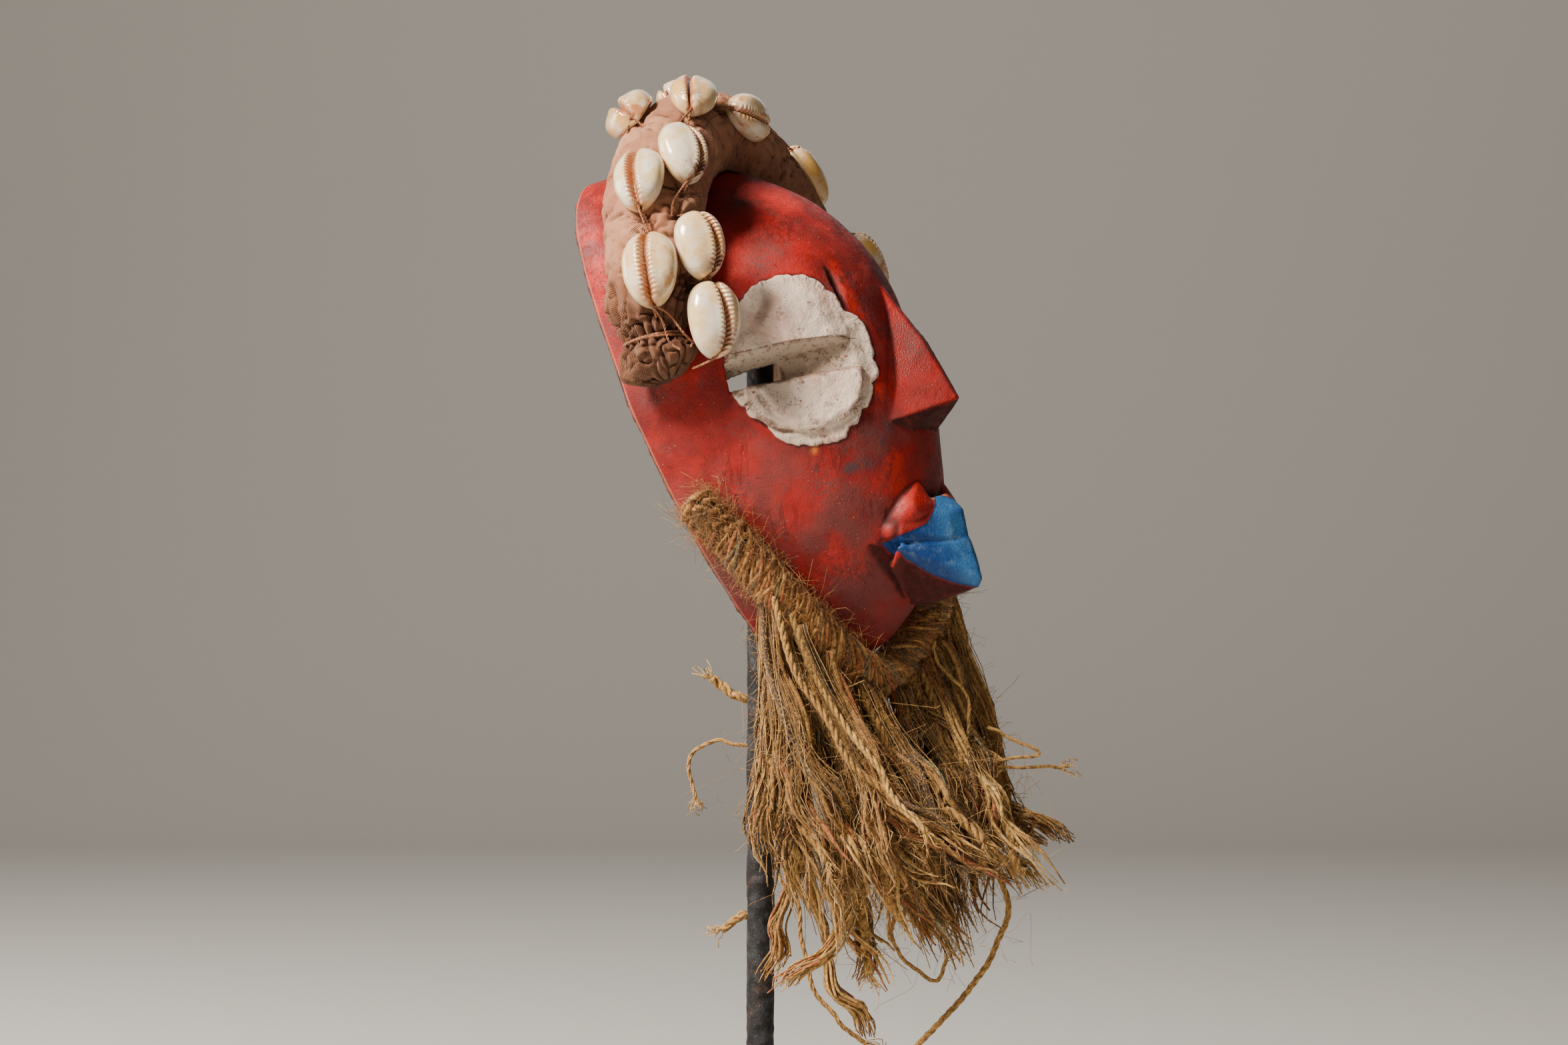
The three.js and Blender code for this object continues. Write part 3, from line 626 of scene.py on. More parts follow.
# How far each point is moved out, in mm: facets and tool marks by noise, the lumpy thickness of
# the white paint, a groove along the lid's crease, and gouge marks inside the hollow
def maskRelief(p, white, blue, inner, front):
    smoothPart = np.clip(smoothStep(white, -1, 1.5) + smoothStep(blue, -1, 1.5), 0, 1) * front
    relief = carving["facets"] * noise(p, carving["facetCell"], 1)
    relief += carving["tool"] * noise(p, carving["toolCell"], 2)
    relief = relief * (1 - 0.7 * smoothPart)
    lump = 0.7 + 0.5 * noise(p, 2.6, 8) + 0.5 * bell(white - 0.9, 0.8)
    relief += whitePatch["thick"] * smoothStep(white, -0.25, 0.5) * lump * front
    crease = lineDistance(np.abs(p[:, 0]), p[:, 1], lidCrease)
    groove = 0.3 * bell(crease - 1.0, 0.8) - 0.55 * bell(crease, 0.5)
    relief += groove * front * (white > 0)
    gouge = np.abs(np.sin(p[:, 0] * 0.42 + 1.6 * noise(p, 24, 6))) * carving["innerGouge"]
    return np.where(inner, 0.5 * relief - gouge * (1 + 0.6 * noise(p, 9, 7)), relief)


# Mask: the carved body raised along its normals by the relief, with a value for each paint
def buildMask(material):
    body = carveBody()
    evenMesh(body)
    mesh = body.data
    p, n = arraysOf(mesh)
    u, v, w = toEye(p)
    socket = (np.abs(u) < 22.5) & (v < 3) & (v > -12) & (w > -10.5) & (w < 3)
    inner = (insideDome(p, 1.6 - dome["wall"]) | (p[:, 2] < 0.8)) & ~socket
    white, blue = whiteDistance(p), blueDistance(p)
    front = ~inner & (p[:, 2] > 8)
    p = p + n * maskRelief(p, white, blue, inner, front)[:, None]
    mesh.vertices.foreach_set("co", (toWorld(p) * mm).astype(np.float32).ravel())
    lidPlane = v + eye["slitTaper"] * (eye["lidRise"] - w)
    onLid = (np.abs(u) < 21.5) & (w > -1.5) & (lidPlane > -1.2) & front
    masks = {"whitePaint": np.where(front, white, -20),
             "bluePaint": np.where(front & (p[:, 1] < -40), blue, -20),
             "bareWood": inner, "hollow": hollowness(mesh, p, n), "faceUp": p[:, 1], "faceOut": p[:, 2],
             "lidPlane": np.where(onLid, lidPlane, 9), "socket": socket * smoothStep(w, 1.5, -0.5),
             "lowerLid": np.where(np.abs(u - eye["lowerShift"]) < 17.5, -eye["slitHeight"] - v, 9),
             "rimDepth": np.where(inner, -5, p[:, 2])}
    for name, amount in paintZones(p, n, white, blue).items():
        masks[name] = amount * front
    for name, values in masks.items():
        addAttribute(body, name, values)
    ring = mesh.attributes.new("eyeRing", "FLOAT_VECTOR", "POINT")
    ring.data.foreach_set("vector", eyeRing(p, white).astype(np.float32).ravel())
    mesh.polygons.foreach_set("use_smooth", np.ones(len(mesh.polygons), bool))
    mesh.materials.clear()
    mesh.materials.append(material)
    mesh.update()
    print("stage: mask carved,", len(mesh.polygons), "faces")
    place(body, "mask", "mask")


# Stage, light and camera
view = {"lens": 85, "place": (-1.0180, -0.5497, 0.2332), "look": (0.8829, 0.4695, 0.0)}
stageMaterial = bpy.data.materials.new("paleSweep")
stageMaterial.use_nodes = True
stageInputs = stageMaterial.node_tree.nodes["Principled BSDF"].inputs
stageInputs["Base Color"].default_value = (0.62, 0.6, 0.57, 1)
stageInputs["Roughness"].default_value = 0.9


# Floor that curves up into a wall behind the part, seen from the camera
def buildSweep():
    ahead = np.array(view["look"])
    side = np.cross(ahead, [0, 0, 1])
    bend = np.linspace(0, np.pi / 2, 24)
    profile = [(-2200, 0)] + [(1500 + 700 * np.sin(a), 700 - 700 * np.cos(a)) for a in bend] + [(2200, 3200)]
    width = np.array([-4000, 4000])
    grid = np.array([[ahead * f + side * w + np.array([0, 0, u]) for w in width] for f, u in profile])
    r = np.arange(len(profile) - 1)
    quads = np.stack([r * 2, r * 2 + 1, r * 2 + 3, r * 2 + 2], -1)
    sweep = makePiece("studioSweep", grid.reshape(-1, 3), quads, stageMaterial)


# A lamp or camera at a spot, turned to look at a target
def aimed(objectData, name, spot, target):
    thing = addObject(name, objectData)
    thing.location = spot
    thing.rotation_euler = (Vector(target) - Vector(spot)).to_track_quat("-Z", "Y").to_euler()
    return thing


lights = {"key": {"spot": (-0.80, 0.38, 1.02), "size": 0.34, "power": 43, "color": (1.0, 0.92, 0.81)},
          "fill": {"spot": (-1.2, -1.1, 0.75), "size": 1.0, "power": 1.6, "color": (1.0, 0.94, 0.86)},
          "flank": {"spot": (-0.25, 1.15, 0.55), "size": 0.5, "power": 6, "color": (1.0, 0.93, 0.88)},
          "back": {"spot": (0.9, 0.3, 1.0), "size": 0.8, "power": 1.5, "color": (0.9, 0.95, 1.0)}}


# Backdrop, lamps, dim sky and camera
def buildStage():
    buildSweep()
    for name, light in lights.items():
        lamp = bpy.data.lights.new(name, "AREA")
        lamp.size, lamp.energy, lamp.color = light["size"], light["power"], light["color"]
        aimed(lamp, name, light["spot"], (0, -0.01, 0.25))
    world = bpy.data.worlds.new("softRoom")
    world.use_nodes = True
    world.node_tree.nodes["Background"].inputs["Color"].default_value = (0.8, 0.82, 0.85, 1)
    world.node_tree.nodes["Background"].inputs["Strength"].default_value = 0.06
    bpy.context.scene.world = world
    lens = bpy.data.cameras.new("camera")
    lens.lens = view["lens"]
    lens.sensor_width = 36
    lens.clip_start, lens.clip_end = 0.01, 50
    spot = np.array(view["place"])
    bpy.context.scene.camera = aimed(lens, "camera", spot, spot + np.array(view["look"]))


buildStage()
print("stage: light and camera set")


# Colour that covers fully
def rgb(red, green, blue):
    return (red, green, blue, 1)


# Shader nodes of one tree: each method adds a node and gives back its output
class Nodes:
    def __init__(self, tree):
        self.tree = tree

    # Links another node's output to a socket, or sets the socket's own value
    def feed(self, socket, value):
        if isinstance(value, bpy.types.NodeSocket):
            self.tree.links.new(value, socket)
        else:
            socket.default_value = value

    def add(self, kind, sockets=None, **settings):
        node = self.tree.nodes.new(kind)
        for key, value in settings.items():
            setattr(node, key, value)
        for key, value in (sockets or {}).items():
            self.feed(node.inputs[key], value)
        return node

    def use(self, group, **sockets):
        return self.add("ShaderNodeGroup", sockets, node_tree=group).outputs[0]

    def calc(self, operation, *values):
        return self.add("ShaderNodeMath", dict(enumerate(values)), operation=operation).outputs[0]

    def both(self, first, second):
        return self.calc("MULTIPLY", first, second)

    # Smooth step of a value from one range to another
    def spread(self, value, low, high, start=0.0, end=1.0):
        sockets = {"Value": value, "From Min": low, "From Max": high, "To Min": start, "To Max": end}
        return self.add("ShaderNodeMapRange", sockets, interpolation_type="SMOOTHSTEP").outputs["Result"]

    def blend(self, factor, first, second):
        return self.add("ShaderNodeMix", {0: factor, 6: first, 7: second}, data_type="RGBA").outputs[2]

    # Cloudy noise, named in cells per metre
    def clouds(self, vector, scale, detail=2.0, roughness=0.5):
        sockets = {"Vector": vector, "Scale": scale, "Detail": detail, "Roughness": roughness}
        return self.add("ShaderNodeTexNoise", sockets).outputs["Fac"]

    def bumped(self, height, distance, normal):
        sockets = {"Height": height, "Distance": distance, "Strength": 1.0, "Normal": normal}
        return self.add("ShaderNodeBump", sockets).outputs["Normal"]


# A node group with one output; its inputs are numbers, or vectors given as a tuple or as None
def makeGroup(name, build, output, kind, **inputs):
    tree = bpy.data.node_groups.new(name, "ShaderNodeTree")
    for label, value in inputs.items():
        inputKind = "NodeSocketFloat" if isinstance(value, float) else "NodeSocketVector"
        socket = tree.interface.new_socket(label, in_out="INPUT", socket_type=inputKind)
        if value is not None:
            socket.default_value = value
    tree.interface.new_socket(output, in_out="OUTPUT", socket_type=kind)
    given = tree.nodes.new("NodeGroupInput").outputs
    sink = tree.nodes.new("NodeGroupOutput")
    tree.links.new(build(Nodes(tree), given), sink.inputs[output])
    return tree


# Mask from 0 to 1: noise of a given scale (cells per metre) spread between two levels
def buildPatch(nodes, given):
    grain = nodes.clouds(given["Vector"], given["Scale"], given["Detail"], 0.62)
    return nodes.spread(grain, given["Low"], given["High"])


# Thin broken lines: noise pulled long one way, kept only where it crosses its middle
def buildScratch(nodes, given):
    sockets = {"Vector": given["Vector"], "Scale": given["Stretch"], "Rotation": given["Turn"]}
    pulled = nodes.add("ShaderNodeMapping", sockets).outputs[0]
    wave = nodes.clouds(pulled, given["Scale"], 3.0)
    line = nodes.calc("ABSOLUTE", nodes.calc("SUBTRACT", wave, 0.5))
    thin = nodes.spread(line, given["Width"], 0.0)
    breaks = nodes.clouds(given["Vector"], given["Breaks"])
    return nodes.both(thin, nodes.spread(breaks, 0.5, 0.62))


# Normal bumped by noise at one scale, on top of the given normal
def buildGrain(nodes, given):
    grain = nodes.clouds(given["Vector"], given["Scale"], 4.0, 0.6)
    return nodes.bumped(grain, given["Height"], given["Normal"])


patchGroup = makeGroup("patches", buildPatch, "Mask", "NodeSocketFloat", Vector=None, Scale=60.0, Detail=4.0,
                       Low=0.45, High=0.6)
scratchGroup = makeGroup("scratches", buildScratch, "Mask", "NodeSocketFloat", Vector=None, Scale=40.0,
                         Stretch=(1, 1, 6), Turn=(0, 0, 0), Width=0.01, Breaks=90.0)
grainGroup = makeGroup("grain", buildGrain, "Normal", "NodeSocketVector", Vector=None, Scale=900.0,
                       Height=0.0002, Normal=None)


# A material: its nodes, its palette of named colours, the place it is read at, and the colour and
# relief mixed so far
class Mix(Nodes):
    def __init__(self, name, palette):
        self.material = bpy.data.materials.new(name)
        self.material.use_nodes = True
        self.palette = palette
        super().__init__(self.material.node_tree)
        self.place = self.add("ShaderNodeTexCoord").outputs["Object"]
        self.relief = self.add("ShaderNodeNewGeometry").outputs["Normal"]

    # Values of one of the piece's own attributes
    def read(self, name, output="Fac"):
        return self.add("ShaderNodeAttribute", attribute_name=name).outputs[output]

    def patch(self, scale, low, high, detail=4.0, vector=None):
        vector = self.place if vector is None else vector
        return self.use(patchGroup, Vector=vector, Scale=scale, Detail=detail, Low=low, High=high)

    def scratch(self, scale, stretch, width, breaks, turn=(0, 0, 0)):
        return self.use(scratchGroup, Vector=self.place, Scale=scale, Stretch=stretch, Turn=turn, Width=width,
                        Breaks=breaks)

    # Distance to the edges of random cells
    def cells(self, scale):
        sockets = {"Vector": self.place, "Scale": scale}
        return self.add("ShaderNodeTexVoronoi", sockets, feature="DISTANCE_TO_EDGE").outputs["Distance"]

    # The first colour, and the second where the mask is 1
    def base(self, mask, first, second):
        self.color = self.blend(mask, self.palette[first], self.palette[second])

    # Coat of a palette colour, or of another mixed one, over the colour so far where the mask is 1,
    # thinned by its strength
    def coat(self, name, mask, strength=1.0):
        newColor = self.palette[name] if isinstance(name, str) else name
        self.color = self.blend(self.both(mask, strength) if strength < 1 else mask, self.color, newColor)

    def grain(self, scale, height):
        self.relief = self.use(grainGroup, Vector=self.place, Scale=scale, Height=height, Normal=self.relief)

    def bump(self, height, distance):
        self.relief = self.bumped(height, distance, self.relief)

    # Feeds the colour, the relief and the other named sockets to the shader
    def finish(self, sockets):
        shader = self.tree.nodes["Principled BSDF"]
        for name, value in {"Base Color": self.color, "Normal": self.relief, **sockets}.items():
            self.feed(shader.inputs[name], value)
        return self.material


# Red, white and blue paint
red = {"deep": rgb(0.17, 0.007, 0.006), "main": rgb(0.37, 0.011, 0.008), "bright": rgb(0.56, 0.020, 0.012),
       "worn": rgb(0.115, 0.050, 0.045), "fleck": rgb(0.55, 0.33, 0.27), "dark": rgb(0.035, 0.005, 0.004),
       "edge": rgb(0.50, 0.24, 0.17), "stain": rgb(0.045, 0.04, 0.045), "chip": rgb(0.62, 0.16, 0.03)}
white = {"main": rgb(0.82, 0.64, 0.51), "pink": rgb(0.74, 0.49, 0.39), "grey": rgb(0.54, 0.48, 0.42),
         "stroke": rgb(0.05, 0.035, 0.03), "blotch": rgb(0.20, 0.10, 0.065), "socket": rgb(0.50, 0.40, 0.30),
         "dot": rgb(0.20, 0.03, 0.02)}
blue = {"deep": rgb(0.006, 0.045, 0.19), "light": rgb(0.030, 0.130, 0.32), "pale": rgb(0.16, 0.27, 0.40),
        "rim": rgb(0.004, 0.02, 0.10)}
wood = {"light": rgb(0.12, 0.065, 0.035), "dark": rgb(0.035, 0.02, 0.013)}


# Red paint: patches of deep and bright red, worn places, scratches, pits, flecks and the places named in
# paintZones, with painted shade towards the bottom, in hollows and under the nose and lip, and painted
# highlight on ridges
def redColor(mix, up, hollow, zone):
    mix.base(mix.patch(34.0, 0.40, 0.62, 6.0), "main", "deep")
    mix.coat("bright", mix.both(mix.patch(48.0, 0.54, 0.70, 5.0), mix.patch(900.0, 0.30, 0.52, 2.0)))
    worn = mix.both(mix.patch(62.0, 0.47, 0.66, 8.0), mix.patch(1100.0, 0.38, 0.60, 5.0))
    mix.coat("worn", worn, 0.8)
    # Painted shade: the red darkens towards the bottom of the face, with worn patches and a deeper red there
    low = mix.spread(up, 0.0, -50.0, 0.15, 0.9)
    mix.coat("worn", mix.both(low, mix.patch(55.0, 0.40, 0.62, 7.0)), 0.8)
    mix.coat("deep", mix.spread(up, -20.0, -75.0, 0.0, 0.5))
    mix.coat("dark", mix.scratch(110.0, (3.0, 3.0, 0.5), 0.06, 60.0), 0.4)
    mix.coat("dark", mix.scratch(60.0, (1.0, 1.0, 5.0), 0.010, 140.0, (0.4, 0.5, 0.2)), 0.6)
    pits = mix.both(mix.patch(1300.0, 0.62, 0.68, 3.0), mix.patch(80.0, 0.42, 0.6))
    mix.coat("dark", pits, 0.8)
    mix.coat("fleck", mix.both(mix.patch(1500.0, 0.69, 0.73, 2.0), mix.patch(90.0, 0.5, 0.62)))
    mix.coat("chip", mix.patch(95.0, 0.745, 0.765, 5.0))
    # Painted highlight: brighter red on the brow groove's wall and the swelling beside the mouth
    mix.coat("bright", mix.both(mix.both(zone["paintedHighlight"], 0.6), mix.patch(260.0, 0.34, 0.5, 5.0)))
    mix.coat("worn", mix.both(mix.spread(mix.cells(1300.0), 0.16, 0.02), zone["lizard"]), 0.45)
    mix.coat("stain", mix.both(zone["stainPaint"], mix.patch(240.0, 0.36, 0.54, 6.0)), 0.9)
    uneven = mix.spread(mix.patch(200.0, 0.3, 0.5, 5.0), 0.0, 1.0, 0.7, 1.0)
    # Painted shade: darker red under the nose and lip and in the grooves and creases
    mix.coat("dark", mix.both(zone["paintedShade"], uneven))
    mix.coat("chip", zone["bareStroke"])
    # Painted shade: darker red in hollows; painted highlight: brighter red on ridges
    mix.coat("dark", mix.spread(hollow, 0.012, 0.06, 0.0, 0.8))
    mix.coat("bright", mix.spread(hollow, -0.03, -0.09, 0.0, 0.5))


# White paint: pinkish and grey places, blotches of dirt, beige-grey painted shade under the upper lid's shelf
# and in the recess, painted shadow lines along the lids' edges, painted shade in hollows, darker blotches on
# ridges, fine cracks, and brush strokes round the patch's edge
def whiteColor(mix, edge, ring, zone, hollow):
    mix.palette = white
    mix.base(mix.patch(90.0, 0.45, 0.62), "main", "pink")
    mix.coat("grey", mix.patch(140.0, 0.54, 0.68), 0.35)
    blotch = mix.both(mix.patch(200.0, 0.54, 0.64, 6.0), mix.patch(1100.0, 0.42, 0.58))
    mix.coat("blotch", blotch, 0.6)
    plane, lower = zone["lidPlane"], zone["lowerLid"]
    # Painted shade: beige-grey under the upper lid's shelf and, in patches, in the recess
    patchy = mix.both(zone["socket"], mix.patch(420.0, 0.2, 0.5, 6.0))
    inShade = mix.calc("MAXIMUM", mix.spread(plane, 0.42, 0.3), patchy)
    mix.coat("socket", inShade, 0.85)
    mix.coat("blotch", mix.both(mix.patch(620.0, 0.56, 0.60, 4.0), inShade), 0.7)
    mix.coat("dot", mix.patch(520.0, 0.695, 0.72, 2.0), 0.8)
    # Painted shadow: thin dark lines along the upper lid's shelf edge and the lower lid's top edge
    upperEdgeShadow = mix.both(mix.spread(plane, 0.72, 0.6), mix.spread(plane, 0.25, 0.36))
    lowerEdgeShadow = mix.both(mix.spread(lower, 0.42, 0.3), mix.spread(lower, -0.1, 0.05))
    lines = mix.calc("MAXIMUM", upperEdgeShadow, mix.both(lowerEdgeShadow, 0.7))
    mix.coat("blotch", mix.both(lines, mix.patch(300.0, 0.34, 0.46, 4.0)), 0.85)
    mix.coat("stroke", mix.scratch(150.0, (1.0, 1.0, 2.6), 0.012, 320.0), 0.5)
    near = mix.both(mix.patch(1.0, 0.56, 0.62, 2.0, ring), mix.spread(edge, 4.5, 0.6))
    mix.coat("stroke", mix.both(near, mix.patch(70.0, 0.42, 0.58)), 0.85)
    ridge = mix.both(mix.spread(hollow, -0.05, -0.13), mix.patch(300.0, 0.3, 0.5))
    mix.coat("blotch", ridge, 0.75)
    # Painted shade: darker white in hollows
    mix.coat("blotch", mix.spread(hollow, 0.02, 0.10, 0.0, 0.8))
    return mix.color


# Blue paint: lighter where the lips stand out, a painted highlight, with pale and deep patches, cracks and a
# dark rim
def blueColor(mix, out, edge):
    mix.palette = blue
    # Painted highlight: lighter blue towards the front of the lips
    mix.base(mix.spread(out, 60.0, 66.0), "deep", "light")
    mix.coat("pale", mix.patch(300.0, 0.5, 0.70, 7.0), 0.4)
    mix.coat("deep", mix.patch(120.0, 0.5, 0.66, 4.0), 0.6)
    mix.coat("rim", mix.both(mix.spread(mix.cells(420.0), 0.05, 0.0), mix.patch(200.0, 0.45, 0.6)), 0.45)
    mix.coat("rim", mix.spread(edge, 1.0, 0.2, 0.0, 0.8))
    return mix.color


# All the paint: red, then white and blue inside their edges, and bare wood within
def paintMaterial():
    mix = Mix("redPaintedWood", red)
    hollow, up, out = (mix.read(n) for n in ("hollow", "faceUp", "faceOut"))
    whiteEdge, blueEdge, bare = (mix.read(n) for n in ("whitePaint", "bluePaint", "bareWood"))
    rimDepth, ring = mix.read("rimDepth"), mix.read("eyeRing", "Vector")
    zone = {n: mix.read(n) for n in ("paintedShade", "paintedHighlight", "stainPaint", "lizard", "bareStroke",
                                     "socket", "lidPlane", "lowerLid")}
    redColor(mix, up, hollow, zone)
    mix.coat("edge", mix.both(mix.spread(rimDepth, 1.8, 0.6), mix.spread(rimDepth, -0.5, 0.2)), 0.7)
    mix.coat("dark", mix.both(mix.spread(whiteEdge, -1.0, -0.2), mix.patch(160.0, 0.4, 0.56)), 0.8)
    redPaint = mix.color
    whitePaint = whiteColor(mix, whiteEdge, ring, zone, hollow)
    bluePaint = blueColor(mix, out, blueEdge)
    mix.color = redPaint
    mix.coat(whitePaint, mix.spread(whiteEdge, -0.15, 0.25))
    mix.coat(bluePaint, mix.spread(blueEdge, -0.1, 0.25))
    stretched = mix.add("ShaderNodeMapping", {"Vector": mix.place, "Scale": (1, 1, 0.12)}).outputs[0]
    streaks = mix.patch(500.0, 0.38, 0.62, vector=stretched)
    mix.coat(mix.blend(streaks, wood["dark"], wood["light"]), bare)
    rough = mix.spread(mix.patch(420.0, 0.35, 0.65, 6.0), 0.0, 1.0, 0.48, 0.66)
    rough = mix.calc("ADD", rough, mix.both(mix.spread(whiteEdge, -0.2, 0.3), 0.25))
    rough = mix.calc("SUBTRACT", rough, mix.both(zone["paintedHighlight"], 0.08))
    rough = mix.calc("ADD", rough, mix.both(zone["paintedShade"], 0.3))
    rough = mix.calc("MAXIMUM", rough, mix.both(bare, 0.85))
    mix.grain(220.0, 0.00018)
    mix.grain(1500.0, 0.00016)
    mix.bump(mix.both(mix.spread(mix.cells(1300.0), 0.0, 0.3), zone["lizard"]), 0.00007)
    mix.bump(mix.both(mix.clouds(mix.place, 380.0, 6.0, 0.7), mix.spread(whiteEdge, -0.2, 0.4)), 0.0007)
    return mix.finish({"Roughness": rough, "Specular IOR Level": 0.3})


buildMask(paintMaterial())


# Cloth roll
roll = {"halfWide": 14.5, "halfThick": 11.5, "inward": 17, "sink": 2, "farPress": 2.5, "crownLift": 2.5,
        "startDeg": -9, "endDepth": 18, "topDepth": 25, "tieFromEnd": 12.5, "tieShare": 0.76,
        "knotShare": 0.92}
rollLook = {"stations": 560, "around": 168, "pleats": 17, "pleatDepth": 1.5, "pleatReach": 11,
            "fold": 0.75, "dimple": 1.7, "star": 0.6, "sag": 0.9, "crush": 2.1}


# Middle line of the roll at shares t of its length: over the dome from side to side, off its skin
# by the roll's half thickness, raised over the crown and pressed down on the far side
def rollCentre(t):
    angle = np.radians((180 - roll["startDeg"]) * (1 - t) + roll["startDeg"] * t)
    crown = np.maximum(np.sin(angle), 0)
    depth = roll["endDepth"] + (roll["topDepth"] - roll["endDepth"]) * crown
    press = roll["farPress"] * smoothStep(t, 0.5, 0.62)
    off = roll["halfThick"] - roll["sink"] + roll["crownLift"] * crown - press
    return domePoint(angle, depth) + domeNormal(angle, depth) * off[..., None]


# Share of the full girth at a distance from the end: a knot, a neck at the tie, then the full tube
def rollGirth(fromEnd):
    tie, knot = roll["tieShare"], roll["knotShare"]
    half = roll["tieFromEnd"] / 2
    bulge = 0.35 + (knot - 0.35) * np.sin(np.clip(fromEnd / half, 0, 1) * np.pi / 2)
    neck = knot + (tie - knot) * np.clip((fromEnd - half) / half, 0, 1) ** 2
    full = tie + (1 - tie) * smoothStep(fromEnd, roll["tieFromEnd"], roll["tieFromEnd"] + 12)
    return np.where(fromEnd < half, bulge, np.where(fromEnd < roll["tieFromEnd"], neck, full))


# Points inside the dome, grown by some millimetres, are moved out to its skin
def pushOut(p, grow):
    angle = np.arctan2(p[..., 1] - dome["centre"], p[..., 0])
    surface = domePoint(angle, p[..., 2], grow)
    return np.where(insideDome(p, grow)[..., None], surface, p)


# One row for each shell: degrees along the roll and round it, degrees it is turned and tilted in
# its place, its size; how wide its mouth is, where the mouth lies across and how it bows; how
# orange its gums are, how aged it is and how brown its tip is
shellKeys = ("at", "turn", "yaw", "tilt", "size", "mouth", "side", "bow", "stain", "age", "tip")
shellRows = [(6.5, 94, -4, 36, 1.04, 0.8, -0.12, -0.8, 0.55, 0.15, 0.6),
             (27, 84, 12, 30, 0.94, 0.7, -0.42, -0.9, 0.5, 0.5, 1.0),
             (56, 66, 20, 0, 0.96, 0.8, -0.40, -1.0, 0.5, 0.15, 1.1),
             (77, 50, 16, 0, 0.92, 0.8, 0.25, 0.5, 0.8, 0.9, 0.5),
             (90, 100, -12, 0, 0.9, 0.7, -0.3, 0.4, 0.6, 1.0, 0.4),
             (124, 26, 8, -30, 1.04, 0.7, 0.0, 0.6, 0.6, 1.0, 0.4),
             (152, 62, 0, -22, 1.04, 0.8, 0.1, 0.5, 0.5, 1.0, 0.4),
             (173, 88, 4, 20, 1.0, 0.9, 0.0, 0.5, 0.5, 0.5, 0.3),
             (20, 28, 2, 0, 1.04, 1.0, 0.02, 0.5, 1.0, 0.6, 0.5),
             (46, 22, -4, 0, 0.98, 1.5, 0.02, 0.9, 1.0, 0.1, 0.3),
             (74.5, -24, 30, 0, 1.1, 1.3, 0.0, 0.6, 0.9, 1.1, 0.4),
             (91, -14, 4, 0, 0.9, 0.7, 0.35, 0.4, 0.5, 0.8, 0.3),
             (140, -30, 4, 0, 0.98, 0.9, 0.0, 0.6, 0.5, 0.6, 0.3),
             (163, 10, 0, 0, 1.0, 1.0, 0.1, 0.5, 0.6, 0.6, 0.3)]
shells = [dict(zip(shellKeys, row)) for row in shellRows]
cowrie = {"length": 22.5, "width": 16, "height": 8.4, "gap": 0.3}


# A direction turned about an axis by an angle
def turnedAbout(v, axis, angle):
    c, s = np.cos(angle), np.sin(angle)
    return v * c + np.cross(axis, v) * s + axis * np.dot(axis, v) * (1 - c)


# Where a shell lies on the roll: its long axis, the way across, the way out, and its place
def shellFrame(shell):
    t = (shell["at"] - roll["startDeg"]) / (180 - 2 * roll["startDeg"])
    near = rollCentre(np.array([t - 0.004, t, t + 0.004]))
    along = unit(near[2] - near[0])
    ahead, inward = frontAxes(along)
    out = -inward
    turn = np.radians(shell["turn"])
    skin = out * roll["halfThick"] * np.cos(turn) + ahead * roll["halfWide"] * np.sin(turn)
    normal = unit(out * np.cos(turn) / roll["halfThick"] + ahead * np.sin(turn) / roll["halfWide"])
    tilt = np.radians(shell["tilt"])
    lean = max(np.sin(tilt), -0.5 * np.sin(tilt))
    stand = cowrie["gap"] + 0.75 * cowrie["width"] / 2 * shell["size"] * lean
    long = turnedAbout(along, normal, np.radians(shell["yaw"]))
    leaned = turnedAbout(normal, long, -tilt)
    return {"long": long, "across": np.cross(leaned, long), "normal": leaned, "skinNormal": normal,
            "place": near[1] + skin + normal * stand, "skin": near[1] + skin, "size": shell["size"]}


shellFrames = [shellFrame(shell) for shell in shells]


# Where the two ends of each shell are sewn down: the place, and the ways along, across and out
def stitchPoints():
    spots = []
    for f in shellFrames:
        reach = cowrie["length"] / 2 * f["size"] + 1.2
        across = unit(np.cross(f["skinNormal"], f["long"]))
        for side in (-1, 1):
            spots.append((f["skin"] + f["long"] * reach * side, f["long"], across, f["skinNormal"]))
    return spots


# Valleys of noise: sharp creases where the noise passes through its middle
def creases(points, cell, width, seed):
    return bell(noise(points, cell, seed), width)


